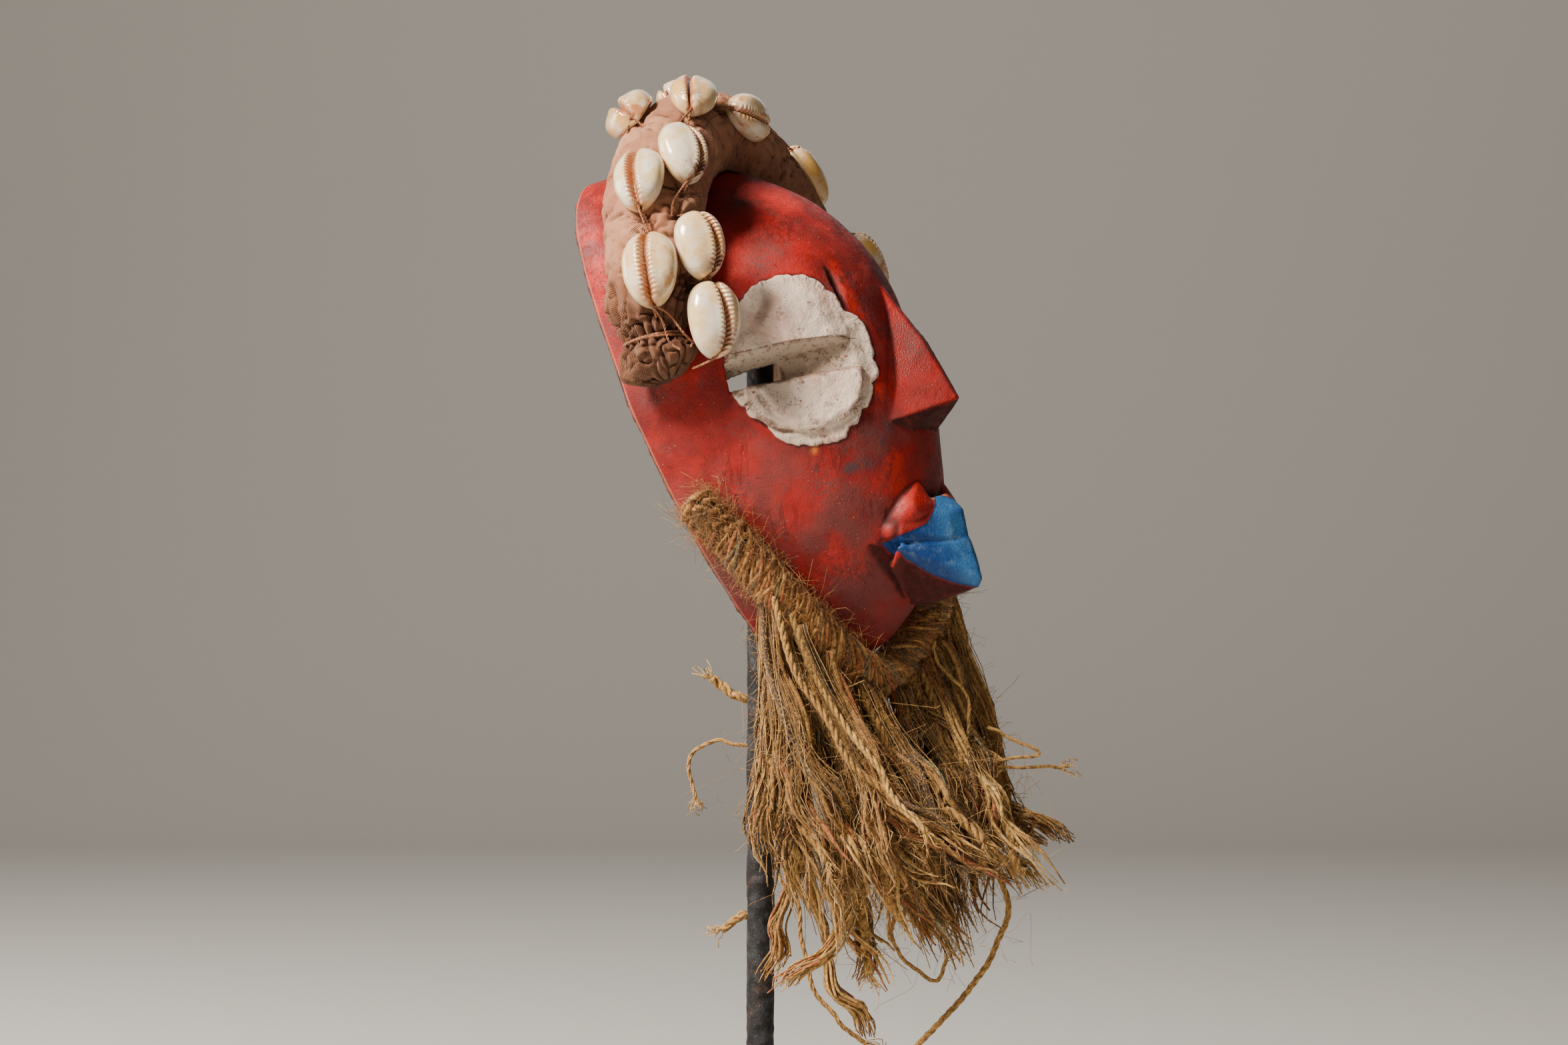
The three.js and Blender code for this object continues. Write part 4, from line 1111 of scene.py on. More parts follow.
# Skin of the cloth tube: oval rings round the roll's path, pushed in and out by pleats by the
# ties, crumpled creases, dimples and star wrinkles at the stitches, and a bed under each shell
def rollSkin(stations, around):
    look = rollLook
    t = np.linspace(0, 1, stations)
    centre = rollCentre(t)
    ahead, inward = frontAxes(unit(np.gradient(centre, axis=0)))
    station = runLength(centre)
    fromEnd = np.minimum(station, station[-1] - station)
    turn = fullTurn(around)
    girth = rollGirth(fromEnd)[:, None]
    inner = smoothStep(girth, 0.9, 1.0) * (np.sin(turn) > 0) * (fromEnd > 16)[:, None]
    wide = roll["halfWide"] * girth
    thick = (roll["halfThick"] + (roll["inward"] - roll["halfThick"]) * inner) * girth
    away = ahead[:, None] * (wide * np.cos(turn))[..., None]
    p = centre[:, None] + (away + inward[:, None] * (thick * np.sin(turn))[..., None])
    outward = ahead[:, None] * (np.cos(turn) / wide)[..., None]
    outward = unit(outward + inward[:, None] * (np.sin(turn) / thick)[..., None])
    s = station[:, None] + 0 * turn

    def onTube(lengthCell, turnCell):
        across = turnCell * np.cos(turn) + 0 * s
        return np.stack([s / lengthCell, across, turnCell * np.sin(turn) + 0 * s], -1)

    folds = look["fold"] * fractal(onTube(26, 2.2), 1.0, 3, 21) + 0.2 * noise(onTube(5, 5), 1.0, 25)
    parts = smoothStep(noise(onTube(20, 1.5), 1.0, 27), 0, 0.5)
    folds -= 0.5 * creases(onTube(30, 3.0), 1.0, 0.07, 26) * parts
    tied = roll["tieFromEnd"]
    drift = 2.6 * noise(onTube(9, 1.6), 1.0, 22)
    wave = np.abs(np.sin(look["pleats"] / 2 * turn + drift)) * (0.75 + 0.6 * noise(onTube(7, 2.0), 1.0, 28))
    toTie = bell(fromEnd - tied, look["pleatReach"])[:, None]
    pleat = look["pleatDepth"] * toTie * (wave - 0.6)
    crumple = (1 - 0.88 * smoothStep(fromEnd, 24, 36))[:, None]
    lines = creases(onTube(7, 2.6), 1.0, 0.12, 23) + 0.7 * creases(onTube(4, 4.2), 1.0, 0.13, 29)
    crush = -look["crush"] * crumple * lines
    pinch = -1.3 * bell(fromEnd - tied, 2.4)[:, None]
    push = folds + pleat + crush + pinch
    for spot, long, across, normal in stitchPoints():
        toSpot = p - spot
        u, v, w = toSpot @ long, toSpot @ across, toSpot @ normal
        r = np.sqrt(u * u + v * v + (0.8 * w) ** 2)
        theta = np.arctan2(v, u)
        push -= look["dimple"] * bell(r, 2.8)
        rays = np.cos(8 * theta + 2 * noise(toSpot, 6, 24))
        push += look["star"] * rays * bell(r, 6.5) * r / (r + 1.2)
    for f in shellFrames:
        toPlace = p - f["skin"]
        u, v = toPlace @ f["long"] / (0.5 * cowrie["length"]), toPlace @ f["across"] / (0.5 * cowrie["width"])
        push -= look["sag"] * bell(u * u + v * v + (toPlace @ f["skinNormal"] / 6) ** 2, 1.0)
    return p, outward, push, centre, s, turn


# Smooth reading of a grid at more places along one axis, wrapping round if asked
def resample(values, count, axis, wrap):
    values = np.moveaxis(values, axis, 0)
    size = len(values)
    at = np.arange(count) / count * size if wrap else np.linspace(0, size - 1, count)
    k = np.floor(at).astype(int)
    share = (at - k).reshape([-1] + [1] * (values.ndim - 1))
    rows = [(k + step) % size if wrap else np.clip(k + step, 0, size - 1) for step in (-1, 0, 1, 2)]
    return np.moveaxis(curve(*(values[row] for row in rows), share), 0, axis)


clothSim = {"rows": 190, "around": 52, "frames": 20, "cap": 2.6, "enlarge": 10, "heldEnds": (8, 20)}
clothSettings = {"quality": 5, "mass": 0.2, "tension_stiffness": 12, "compression_stiffness": 12,
                 "shear_stiffness": 5, "bending_stiffness": 0.05, "use_pressure": True,
                 "uniform_pressure_force": 4.0, "shrink_min": -0.07, "vertex_group_mass": "held"}


# Cloth simulation of a coarse tube held at the stitches and ties: the cloth is a little larger
# than its space and is blown up, so it puffs and wrinkles between them. Returns its movement
def puffedCloth():
    sim = clothSim
    p, outward, push, centre, s, turn = rollSkin(sim["rows"], sim["around"])
    start = p + outward * push[..., None]
    points = ringPoints(start, centre[0], centre[-1]) * sim["enlarge"]
    tube = makePiece("clothTube", points, ringFaces(sim["rows"], sim["around"]))
    fixDirection(tube)
    held = np.zeros(start.shape[:2])
    for spot, long, across, normal in stitchPoints():
        held = np.maximum(held, bell(lengthOf(start - spot), 3.0))
    whole, free = sim["heldEnds"]
    held = np.maximum(held, smoothStep(-np.abs(s - s[0]), -free, -whole))
    held = np.maximum(held, smoothStep(s - s.max(), -free, -whole))
    held = np.maximum(held, insideDome(p, 1.5))
    weights = np.append(held.ravel(), [1, 1])
    group = tube.vertex_groups.new(name="held")
    for step in range(1, 11):
        chosen = np.flatnonzero(np.round(weights * 10) == step)
        group.add(chosen.tolist(), step / 10, "REPLACE")
    cloth = addModifier(tube, "CLOTH")
    for key, value in clothSettings.items():
        setattr(cloth.settings, key, value)
    cloth.settings.effector_weights.gravity = 0
    cloth.point_cache.frame_start, cloth.point_cache.frame_end = 1, sim["frames"]
    scene = bpy.context.scene
    for number in range(1, sim["frames"] + 1):
        scene.frame_set(number)
    finishedMesh(tube)
    moved, normals = arraysOf(tube.data)
    bpy.data.objects.remove(tube)
    scene.frame_set(1)
    shift = moved[:-2].reshape(start.shape) / mm / sim["enlarge"] - start
    size = np.linalg.norm(shift, axis=-1, keepdims=True)
    print("stage: cloth settled, mean move", round(float(size.mean()), 2), "mm, largest",
          round(float(size.max()), 2))
    return shift * np.minimum(1, sim["cap"] / np.maximum(size, 1e-6))


# Fine tube with all its folds, moved as the simulated cloth moved
def buildRoll(material):
    look = rollLook
    p, outward, push, centre, s, turn = rollSkin(look["stations"], look["around"])
    shift = puffedCloth()
    shift = resample(resample(shift, look["stations"], 0, False), look["around"], 1, True)
    p = pushOut(p + outward * push[..., None] + shift, 0.5)
    push = push + (shift * outward).sum(-1)
    points = ringPoints(toWorld(p), toWorld(centre[0]), toWorld(centre[-1]))
    piece = makePiece("rollCloth", points, ringFaces(*p.shape[:2]), material)
    fixDirection(piece)
    mesh = piece.data
    co, normals = arraysOf(mesh)
    addAttribute(piece, "fold", push, (0, 0))
    addAttribute(piece, "hollow", hollowness(mesh, co / mm, normals))
    addAttribute(piece, "grime", 1 - smoothStep(np.minimum(s, s.max() - s), 18, 38), (1, 1))
    wrap = np.cumsum(np.full(turn.shape, 2 * np.pi * 13 / look["around"])) + 0 * s
    addUv(piece, np.append(s.ravel(), [0, s.max()]), np.append(wrap.ravel(), [0, 0]))
    print("stage: roll", len(mesh.polygons), "faces")
    place(piece, "cloth", "headband_roll")


# Turns a closed mesh outwards if its signed volume is negative
def fixDirection(piece):
    mesh = piece.data
    mesh.calc_loop_triangles()
    corner = np.zeros(len(mesh.loop_triangles) * 3, np.int32)
    mesh.loop_triangles.foreach_get("vertices", corner)
    co, normals = arraysOf(mesh)
    a, b, c = co[corner[0::3]], co[corner[1::3]], co[corner[2::3]]
    if (a * np.cross(b, c)).sum() < 0:
        mesh.flip_normals()


# Texture coordinates named wrap, from two numbers for each point
def addUv(piece, first, second):
    mesh = piece.data
    index = np.zeros(len(mesh.loops), np.int32)
    mesh.loops.foreach_get("vertex_index", index)
    layer = mesh.uv_layers.new(name="wrap")
    layer.data.foreach_set("uv", np.stack([first[index], second[index]], -1).astype(np.float32).ravel())


clothLook = {"light": rgb(0.72, 0.34, 0.19), "main": rgb(0.52, 0.20, 0.10), "dark": rgb(0.12, 0.038, 0.016),
             "threadsPerMm": 1.9, "weaveHeight": 0.00016, "grime": rgb(0.165, 0.07, 0.032)}


# Tan cotton: a weave of two sets of sines along the wrap coordinates, painted shade in the folds and hollows,
# and grimy ends
def clothMaterial():
    mix = Mix("tanCotton", clothLook)
    uv = mix.add("ShaderNodeUVMap", uv_map="wrap").outputs[0]
    part = mix.add("ShaderNodeSeparateXYZ", {"Vector": uv}).outputs
    turns = 2 * np.pi * clothLook["threadsPerMm"]
    wobble = mix.both(mix.clouds(mix.place, 300.0), 5.0)
    warp, weft = (mix.calc("SINE", mix.calc("ADD", mix.both(part[k], turns), wobble)) for k in (0, 1))
    weave = mix.both(warp, weft)
    fold, hollow, grime = (mix.read(n) for n in ("fold", "hollow", "grime"))
    mix.base(mix.patch(70.0, 0.38, 0.62, 6.0), "main", "light")
    mix.coat("dark", mix.spread(weave, -0.9, 0.9, 0.35, 0.0))
    # Painted shade: darker in the folds and in hollows
    mix.coat("dark", mix.spread(fold, -0.7, -2.4, 0.0, 0.7))
    mix.coat("dark", mix.spread(hollow, 0.01, 0.06, 0.0, 0.75))
    mix.coat("grime", grime, 0.8)
    mix.coat("dark", mix.both(grime, mix.patch(190.0, 0.42, 0.66, 6.0)), 0.75)
    mix.coat("dark", mix.patch(420.0, 0.56, 0.68), 0.5)
    mix.grain(900.0, 0.0004)
    mix.bump(weave, clothLook["weaveHeight"])
    return mix.finish({"Roughness": 0.95, "Sheen Weight": 0.1, "Specular IOR Level": 0.2})


buildRoll(clothMaterial())

# Cowries
shellLook = {"rows": 96, "around": 80, "teeth": 17, "toothHeight": 0.2, "apertureHalf": 0.5,
             "apertureDepth": 2.8, "outlinePower": 2.2}


# Shell in its own frame: an egg in outline, domed, its mouth a groove between rolled, toothed lips.
# Its rings are closest at the mouth. Returns the grid and the masks that its material reads
def cowrieGrid(shell, seed):
    look = shellLook
    s = np.sin(np.linspace(-1, 1, look["rows"]) * np.pi / 2 * 0.985)[:, None]
    fine = np.linspace(0, 2 * np.pi, 721)
    cumulative = np.concatenate([[0], np.cumsum(1 + 3 * bell(fine - np.pi / 2, 0.5))[:-1]])
    turn = np.interp(np.arange(look["around"]) / look["around"], cumulative / cumulative[-1], fine)[None]
    power = look["outlinePower"]
    roundness = np.clip(1 - np.abs(s) ** power, 0, 1) ** (1 / power)
    half = cowrie["width"] / 2 * roundness * (1 + 0.1 * s)
    high = cowrie["height"] * (0.35 + 0.65 * roundness)
    c, n = np.cos(turn), np.sin(turn)
    y = half * np.sign(c) * np.abs(c) ** 0.92
    z = np.where(n > 0, 0.36 * high + 0.64 * high * np.abs(n) ** 0.8, 0.36 * high * (1 - np.abs(n) ** 0.6))
    middle = shell["side"] * half + 0.35 * np.sin(2.6 * s) + shell["bow"] * (1 - s * s)
    width = look["apertureHalf"] * shell["mouth"] * (0.8 + 0.35 * s * s + 0.25 * s) * (0.5 + 0.5 * roundness)
    across = (y - middle) * (n > 0.1) + 99 * (n <= 0.1)
    r = np.abs(across)
    lip = 0.35 * bell(r - width - 1.7, 1.3) * roundness
    groove = look["apertureDepth"] * (0.35 + 0.65 * roundness) * np.exp(-((r / (width + 0.35)) ** 1.7))
    tooth = (0.5 + 0.5 * np.cos(s * look["teeth"] * np.pi)) ** 1.5
    toothed = bell(r - width - 0.9, 1.1) * np.clip(roundness * 1.4 - 0.25, 0, 1)
    z = z + lip - groove - look["toothHeight"] * toothed * tooth
    ends = 0.9 * smoothStep(np.abs(s), 0.86, 1.0) * bell(r, width + 0.6)
    x = cowrie["length"] / 2 * s + 0 * turn - np.sign(s) * ends
    grid = np.stack(np.broadcast_arrays(x, y, z), -1)
    grid += 0.06 * noise(grid, 3.5, seed)[..., None]
    nearLip = np.clip(1.15 - np.abs(r - width - 0.5) / 1.9, 0, 1)
    masks = {"mouth": bell(r, 0.55 * width + 0.12), "gum": bell(r - width * 0.6, 1.5) * shell["stain"],
             "teeth": nearLip * np.clip(roundness * 1.6 - 0.3, 0, 1),
             "lengthwise": s, "tip": bell(s + 0.72, 0.3) * bell(across, 4.5) * (n > 0) * shell["tip"]}
    return grid, {name: np.broadcast_to(values, x.shape) for name, values in masks.items()}


# One piece for each shell: its grid is scaled by its size and set in its frame on the roll
def buildShells(material):
    half, low = cowrie["length"] / 2, cowrie["height"] * 0.2
    for number, (f, shell) in enumerate(zip(shellFrames, shells), 1):
        grid, masks = cowrieGrid(shell, 40 + number)
        local = ringPoints(grid, [-half, 0, low], [half, 0, low]) * f["size"]
        p = f["place"] + local[:, :1] * f["long"] + local[:, 1:2] * f["across"] + local[:, 2:] * f["normal"]
        piece = makePiece(f"cowrieShell{number:02d}", toWorld(p), ringFaces(*grid.shape[:2]), material)
        fixDirection(piece)
        for name, values in masks.items():
            addAttribute(piece, name, values, (-1, 1) if name == "lengthwise" else (0, 0))
        addAttribute(piece, "height", local[:, 2])
        addAttribute(piece, "age", np.full(len(local), shell["age"]))
        place(piece, "shell", f"cowrie_{number:02d}")
    print("stage: shells")


shellPaint = {"cream": rgb(0.82, 0.59, 0.30), "pale": rgb(0.88, 0.78, 0.62), "orange": rgb(0.58, 0.19, 0.055),
              "gold": rgb(0.76, 0.42, 0.11), "inside": rgb(0.26, 0.075, 0.02),
              "brown": rgb(0.16, 0.05, 0.02), "dirt": rgb(0.24, 0.15, 0.08)}


# Glossy enamel: gold and orange with age, orange gums and grooves between the teeth, a brown tip,
# a dark mouth, and darker low down towards the cloth
def shellMaterial():
    mix = Mix("cowrieEnamel", shellPaint)
    mouth, gum, teeth, height, age, tip, lengthwise = (
        mix.read(n) for n in ("mouth", "gum", "teeth", "height", "age", "tip", "lengthwise"))
    wave = mix.calc("COSINE", mix.both(lengthwise, shellLook["teeth"] * np.pi))
    mix.base(mix.patch(130.0, 0.4, 0.62, 5.0), "pale", "cream")
    mix.coat("gold", mix.both(age, mix.patch(95.0, 0.36, 0.62, 5.0)))
    mix.coat("orange", mix.both(age, mix.patch(160.0, 0.56, 0.68, 5.0)), 0.8)
    mix.coat("orange", mix.calc("MINIMUM", mix.both(gum, mix.patch(170.0, 0.30, 0.56)), 1.0))
    mix.coat("orange", mix.both(teeth, mix.spread(wave, -0.1, 0.9)), 0.75)
    mix.coat("brown", mix.calc("MINIMUM", mix.both(tip, mix.patch(260.0, 0.36, 0.56, 5.0)), 0.9))
    mix.coat("inside", mouth)
    mix.coat("dirt", mix.patch(900.0, 0.64, 0.7), 0.7)
    # Darker low down, towards the cloth
    mix.coat("dirt", mix.spread(height, 2.6, 0.4, 0.0, 0.65))
    mix.grain(420.0, 0.00012)
    mix.bump(mix.both(teeth, wave), -0.00018)
    return mix.finish({"Roughness": 0.2, "Coat Weight": 0.8, "Coat Roughness": 0.06,
                       "Subsurface Weight": 0.15, "Subsurface Scale": 0.002})


buildShells(shellMaterial())


# Smooth curve through corner points, read at evenly shared places
def smoothPath(points, count):
    points = np.asarray(points, float)
    padded = np.concatenate([2 * points[:1] - points[1:2], points, 2 * points[-1:] - points[-2:-1]])
    length = runLength(points)
    places = length / length[-1]
    want = np.linspace(0, 1, count)
    k = np.clip(np.searchsorted(places, want, side="right") - 1, 0, len(points) - 2)
    t = ((want - places[k]) / np.maximum(places[k + 1] - places[k], 1e-9))[:, None]
    return curve(*(padded[k + step] for step in range(4)), t)


# Two plies wound round one path: each ply is the path plus a small turning offset
def twistedThread(path, ply, pitch):
    along, across, other = pathAxes(path, [0.2, 0.9, 0.4])
    turn = runLength(path) / pitch * 2 * np.pi
    return [path + wheel(across, other, turn + k * np.pi) * ply * 0.9 for k in range(2)]


# Place by a shell, in its own frame
def shellSpot(number, long, across, normal):
    f = shellFrames[number - 1]
    return f["place"] + (f["long"] * long + f["across"] * across + f["normal"] * normal) * f["size"]


# One piece of all the batches of tubes
def joinTubes(name, batches, material):
    points, quads, caps, total = [], [], [], 0
    for body, (quad, cap) in batches:
        points.append(body)
        quads.append(quad + total)
        caps.append(cap + total)
        total += len(body)
    return makePiece(name, np.concatenate(points), [np.concatenate(quads), np.concatenate(caps)], material)


threadLook = {"ply": 0.21, "tiePly": 0.26, "pitch": 2.2, "points": 48, "sides": 6,
              "dark": rgb(0.07, 0.04, 0.025), "main": rgb(0.42, 0.17, 0.085), "light": rgb(0.66, 0.36, 0.20)}
# Longer threads between shells: (shell, end) to (shell, end), and those that run into the cloth:
# a shell's end, then places on the roll as (degrees along, degrees round, mm above the cloth)
threadLinks = [((3, 1), (4, -1)), ((10, -1), (9, 1)), ((5, 1), (6, -1)), ((2, -1), (1, 1))]
threadRuns = [((9, -1), [(9, 44, 1.0), (3, 58, 1.6), (-3, 72, 0.4)]),
              ((3, -1), [(40, 60, 0.9), (36, 58, -0.6)]),
              ((1, -1), [(-2, 80, 1.2), (-4, 66, 0.2)]),
              ((10, -1), [(34, 26, 1.3), (31, 23, 0.9), (33, 17, 0.4)]),
              ((9, -1), [(7, 36, 0.6), (0, 40, 0.8), (-4, 50, 0.2)]),
              ((11, -1), [(66, -22, 0.5), (63, -16, -0.4)])]


# Place on the roll's skin: degrees along it, degrees round it, and millimetres above it
def rollSpot(along, turn, lift):
    f = shellFrame({"at": along, "turn": turn, "yaw": 0, "tilt": 0, "size": 1.0})
    return f["skin"] + f["skinNormal"] * lift


# Threads: a short stitch over each end of each shell, and the longer ones that link them
def buildThreads(material):
    end = cowrie["length"] / 2
    paths = []
    for number in range(1, 15):
        for side in (-1, 1):
            f = shellFrames[number - 1]
            ground = f["skin"] + f["long"] * (end * f["size"] + 1.6) * side - f["skinNormal"] * 2.6
            over = f["skin"] + f["long"] * (end * f["size"] + 0.9) * side + f["skinNormal"] * 0.6
            paths.append([ground, over, shellSpot(number, side * (end - 0.2), 0, 2.9),
                          shellSpot(number, side * (end - 2.4), 0.1, 2.6)])
    for (one, oneSide), (two, twoSide) in threadLinks:
        start, finish = (shellSpot(n, e * (end + 0.1), 0, 2.6) for n, e in ((one, oneSide), (two, twoSide)))
        middle = (start + finish) / 2 + shellFrames[one - 1]["skinNormal"] * 0.8
        paths.append([start, middle, finish])
    for (number, side), spots in threadRuns:
        paths.append([shellSpot(number, side * (end - 0.3), 0.2, 2.6)] + [rollSpot(*spot) for spot in spots])
    batches = []

    def addThread(line, ply):
        for part in twistedThread(line, ply, threadLook["pitch"]):
            radii = np.full((1, len(line)), ply)
            batches.append(tubeBundle(toWorld(part)[None], radii, threadLook["sides"]))

    for path in paths:
        addThread(smoothPath(path, threadLook["points"]), threadLook["ply"])
    t = np.linspace(0, 1, 400)
    station = runLength(rollCentre(t))
    for reach in (roll["tieFromEnd"], station[-1] - roll["tieFromEnd"]):
        addThread(tieRing(np.interp(reach, station, t)), threadLook["tiePly"])
    piece = joinTubes("sewingThreads", batches, material)
    addAttribute(piece, "tone", 0.5 + 0.3 * noise(arraysOf(piece.data)[0] / mm, 5, 45))
    place(piece, "rope")
    print("stage: threads")


# Two turns of thread round the roll's tie: an oval square to the roll's path, pushed out of the wood
def tieRing(t):
    near = rollCentre(np.array([t - 0.003, t, t + 0.003]))
    along = unit(near[2] - near[0])
    ahead, inward = frontAxes(along)
    turn = np.linspace(0, 4 * np.pi, 240)
    wide, thick = roll["halfWide"] * 0.7, roll["halfThick"] * 0.7
    ring = near[1] + ahead * (wide * np.cos(turn))[:, None] + inward * (thick * np.sin(turn))[:, None]
    ring += along * (np.linspace(-0.6, 0.6, 240) + 0.3 * np.sin(turn * 1.7))[:, None]
    return pushOut(ring, 0.9)


# Brown thread: from dark to light by its tone, finely mottled
def threadMaterial():
    mix = Mix("brownThread", threadLook)
    tone = mix.read("tone")
    mix.base(mix.spread(tone, 0.0, 0.5), "dark", "main")
    mix.coat("light", mix.spread(tone, 0.5, 1.0))
    mix.coat("dark", mix.patch(800.0, 0.42, 0.62, 5.0), 0.55)
    mix.grain(1600.0, 0.0003)
    return mix.finish({"Roughness": 0.9, "Specular IOR Level": 0.25})


buildThreads(threadMaterial())

# Rope round the jaw
rope = {"radius": 7.2, "startDeg": 222, "endDepth": 9, "chinDepth": 22, "farDepth": 12, "farSlack": 9,
        "gap": 0.8}
ropeLook = {"core": 4.7, "coreSides": 26, "wraps": 146, "perWrap": 4, "yarn": 0.62, "slant": 15,
            "braidEnd": 0.17, "braidTurns": 13, "braidYarns": 14, "braidYarn": 0.56, "fuzz": 6400,
            "fuzzRadius": 0.028, "tow": 2400, "towRadius": 0.05}
jute = {"dark": rgb(0.055, 0.02, 0.005), "main": rgb(0.38, 0.155, 0.034), "light": rgb(0.74, 0.38, 0.11),
        "green": rgb(0.12, 0.13, 0.075), "red": rgb(0.42, 0.10, 0.035)}


# Middle line of the rope at shares t of its length: round the dome's edge under the chin, further
# in front at the chin, and standing off the wood on the loose far side
def ropeCentre(t):
    t = np.asarray(t, float)
    angle = np.radians(rope["startDeg"] * (1 - t) + (540 - rope["startDeg"]) * t)
    chin = np.sin(np.pi * t)
    loose = np.where(t < 0.5, 0, np.sin((t - 0.5) * 2 * np.pi) ** 2)
    depth = rope["endDepth"] + (rope["chinDepth"] - rope["endDepth"]) * chin + rope["farDepth"] * loose
    off = rope["radius"] + rope["gap"] + rope["farSlack"] * loose
    return domePoint(angle, depth) + domeNormal(angle, depth) * off[..., None]


# Middle of the rope and its ways along, ahead and out
def ropeAxes(t):
    along = unit(ropeCentre(t + 0.004) - ropeCentre(t - 0.004))
    return ropeCentre(t), along, *frontAxes(along)


# Point on the rope's skin: its centre plus a radius turned about the path
def ropeRing(t, turn, radius):
    centre, along, ahead, out = ropeAxes(t)
    return centre + wheel(ahead, out, turn) * radius[..., None]


# Collects bundles of tubes with a tone and a dye for each, then makes one piece of them
class Strands:
    def __init__(self):
        self.batches, self.tones, self.dyes = [], [], []

    def add(self, paths, radii, sides, tone, dye=0.5):
        count, length = paths.shape[:2]
        body, faces = tubeBundle(paths, np.broadcast_to(radii, (count, length)), sides)
        self.batches.append((body, faces))
        per = len(body) // count
        self.tones.append(np.repeat(np.broadcast_to(tone, (count,)), per))
        self.dyes.append(np.repeat(np.broadcast_to(dye, (count,)), per))
        return self

    def finish(self, name, material, slotName, *nodes):
        piece = joinTubes(name, self.batches, material)
        addAttribute(piece, "tone", np.concatenate(self.tones))
        addAttribute(piece, "dye", np.concatenate(self.dyes))
        print("stage:", name, len(piece.data.polygons), "faces")
        place(piece, slotName, *nodes)


# Short curling hairs: each leaves its root along a direction and wanders by smooth noise
def hairs(roots, ways, length, points, wander, seed):
    s = np.linspace(0, 1, points)[None, :, None]
    path = roots[:, None] + ways[:, None] * s * length[:, None, None]
    key = np.arange(len(roots))[:, None] * 7.3 + 0 * s[..., 0]
    for axis in range(3):
        spot = np.stack([s[..., 0] * 2.6 + 0 * key, key, np.full(key.shape, axis * 4.1)], -1)
        path[..., axis] += wander * length[:, None] * noise(spot, 1.0, seed) * s[..., 0]
    return path


# Directions shared evenly over the sphere at random
def scatter(count, seed):
    return unit(np.random.default_rng(seed).normal(size=(count, 3)))


# Rope: a dark core whose tone is painted shade in the gaps between the wraps, a braided end of three strands
# that cross in a flat figure of eight, turns of yarn that wander round the core, and fuzz
def buildRope(material):
    look = ropeLook
    strands = Strands()
    t = np.linspace(0.02, 0.985, 260)
    core = ropeCentre(t)
    swell = look["core"] * (1 + 0.08 * noise(core, 7, 31)) * np.minimum(1, np.minimum(t, 1 - t) * 22)
    # Painted shade: the core is dark so that the gaps between the wraps read as shade
    strands.add(toWorld(core)[None], swell[None], look["coreSides"], 0.1)
    addBraid(strands)
    addWraps(strands)
    strands.finish("ropeBraid", material, "rope", "beard_rope")
    count = look["fuzz"]
    where = rng.uniform(0.0, 0.99, count)
    spin = rng.uniform(0, 2 * np.pi, count)
    root = ropeRing(where, spin, np.full(count, look["core"] + 1.0))
    way = unit(unit(root - ropeCentre(where)) * 0.5 + scatter(count, 91) * 0.9)
    paths = toWorld(hairs(root, way, rng.uniform(1.0, 4.4, count) * rng.uniform(0.4, 1.0, count), 5, 1.5, 92))
    fuzz = Strands().add(paths, look["fuzzRadius"], 3, rng.uniform(0.3, 0.9, count), rng.uniform(0, 1, count))
    fuzz.finish("ropeFuzz", material, "rope")
    buildTow(material)


# Braid: three bundles of yarn that swing ahead by a sine and outward by a sine twice as fast
def addBraid(strands):
    look = ropeLook
    t = np.linspace(0.004, look["braidEnd"] + 0.02, 56)
    centre, along, ahead, out = ropeAxes(t)
    cap = np.sqrt(np.clip(1 - (1 - np.clip(t / 0.035, 0, 1)) ** 2, 0.02, 1))
    for k in range(3):
        phase = t * 2 * np.pi * look["braidTurns"] + k * 2 * np.pi / 3
        line = centre + ahead * (3.5 * cap * np.sin(phase))[:, None]
        line = line + out * (2.1 * cap * np.sin(2 * phase) - 0.5)[:, None]
        for j in range(look["braidYarns"]):
            around = j / look["braidYarns"] * 2 * np.pi + t * 45 + 0.5 * np.sin(j * 1.9 + t * 60)
            reach = (2.25 + 0.35 * np.sin(j * 2.3 + t * 90)) * cap * 1.12
            shift = ahead * (np.cos(around) * reach)[:, None] + out * (np.sin(around) * reach)[:, None]
            path = toWorld(line + shift)[None]
            strands.add(path, look["braidYarn"], 6, rng.uniform(0.2, 0.8), rng.uniform(0.1, 0.7))


# Wraps: each yarn goes a little over one turn round the core, with its own slant and lift
def addWraps(strands):
    look, count = ropeLook, ropeLook["wraps"]
    turn = np.linspace(-0.9, 2 * np.pi + 0.9, 22)[None]
    for k in range(look["perWrap"]):
        middle = look["braidEnd"] + (1 - look["braidEnd"]) * (np.arange(count) + rng.random(count)) / count
        slant = look["slant"] / 150 * rng.uniform(0.5, 1.5, count)
        spin = turn + rng.uniform(0, 2 * np.pi, count)[:, None]
        here = middle[:, None] + slant[:, None] * (turn / (2 * np.pi) - 0.5)
        here = here + 0.006 * np.sin(turn * 2 + middle[:, None] * 90)
        lift = look["core"] + rng.uniform(0.3, 1.75, count)[:, None]
        lift = lift + 0.35 * np.sin(turn * 3 + middle[:, None] * 70)
        path = ropeRing(np.clip(here, 0.01, 0.995), spin, lift)
        size = look["yarn"] * rng.uniform(0.6, 1.25, count)[:, None]
        strands.add(toWorld(path), size, 6, rng.uniform(0.15, 0.95, count), rng.uniform(0, 1, count))


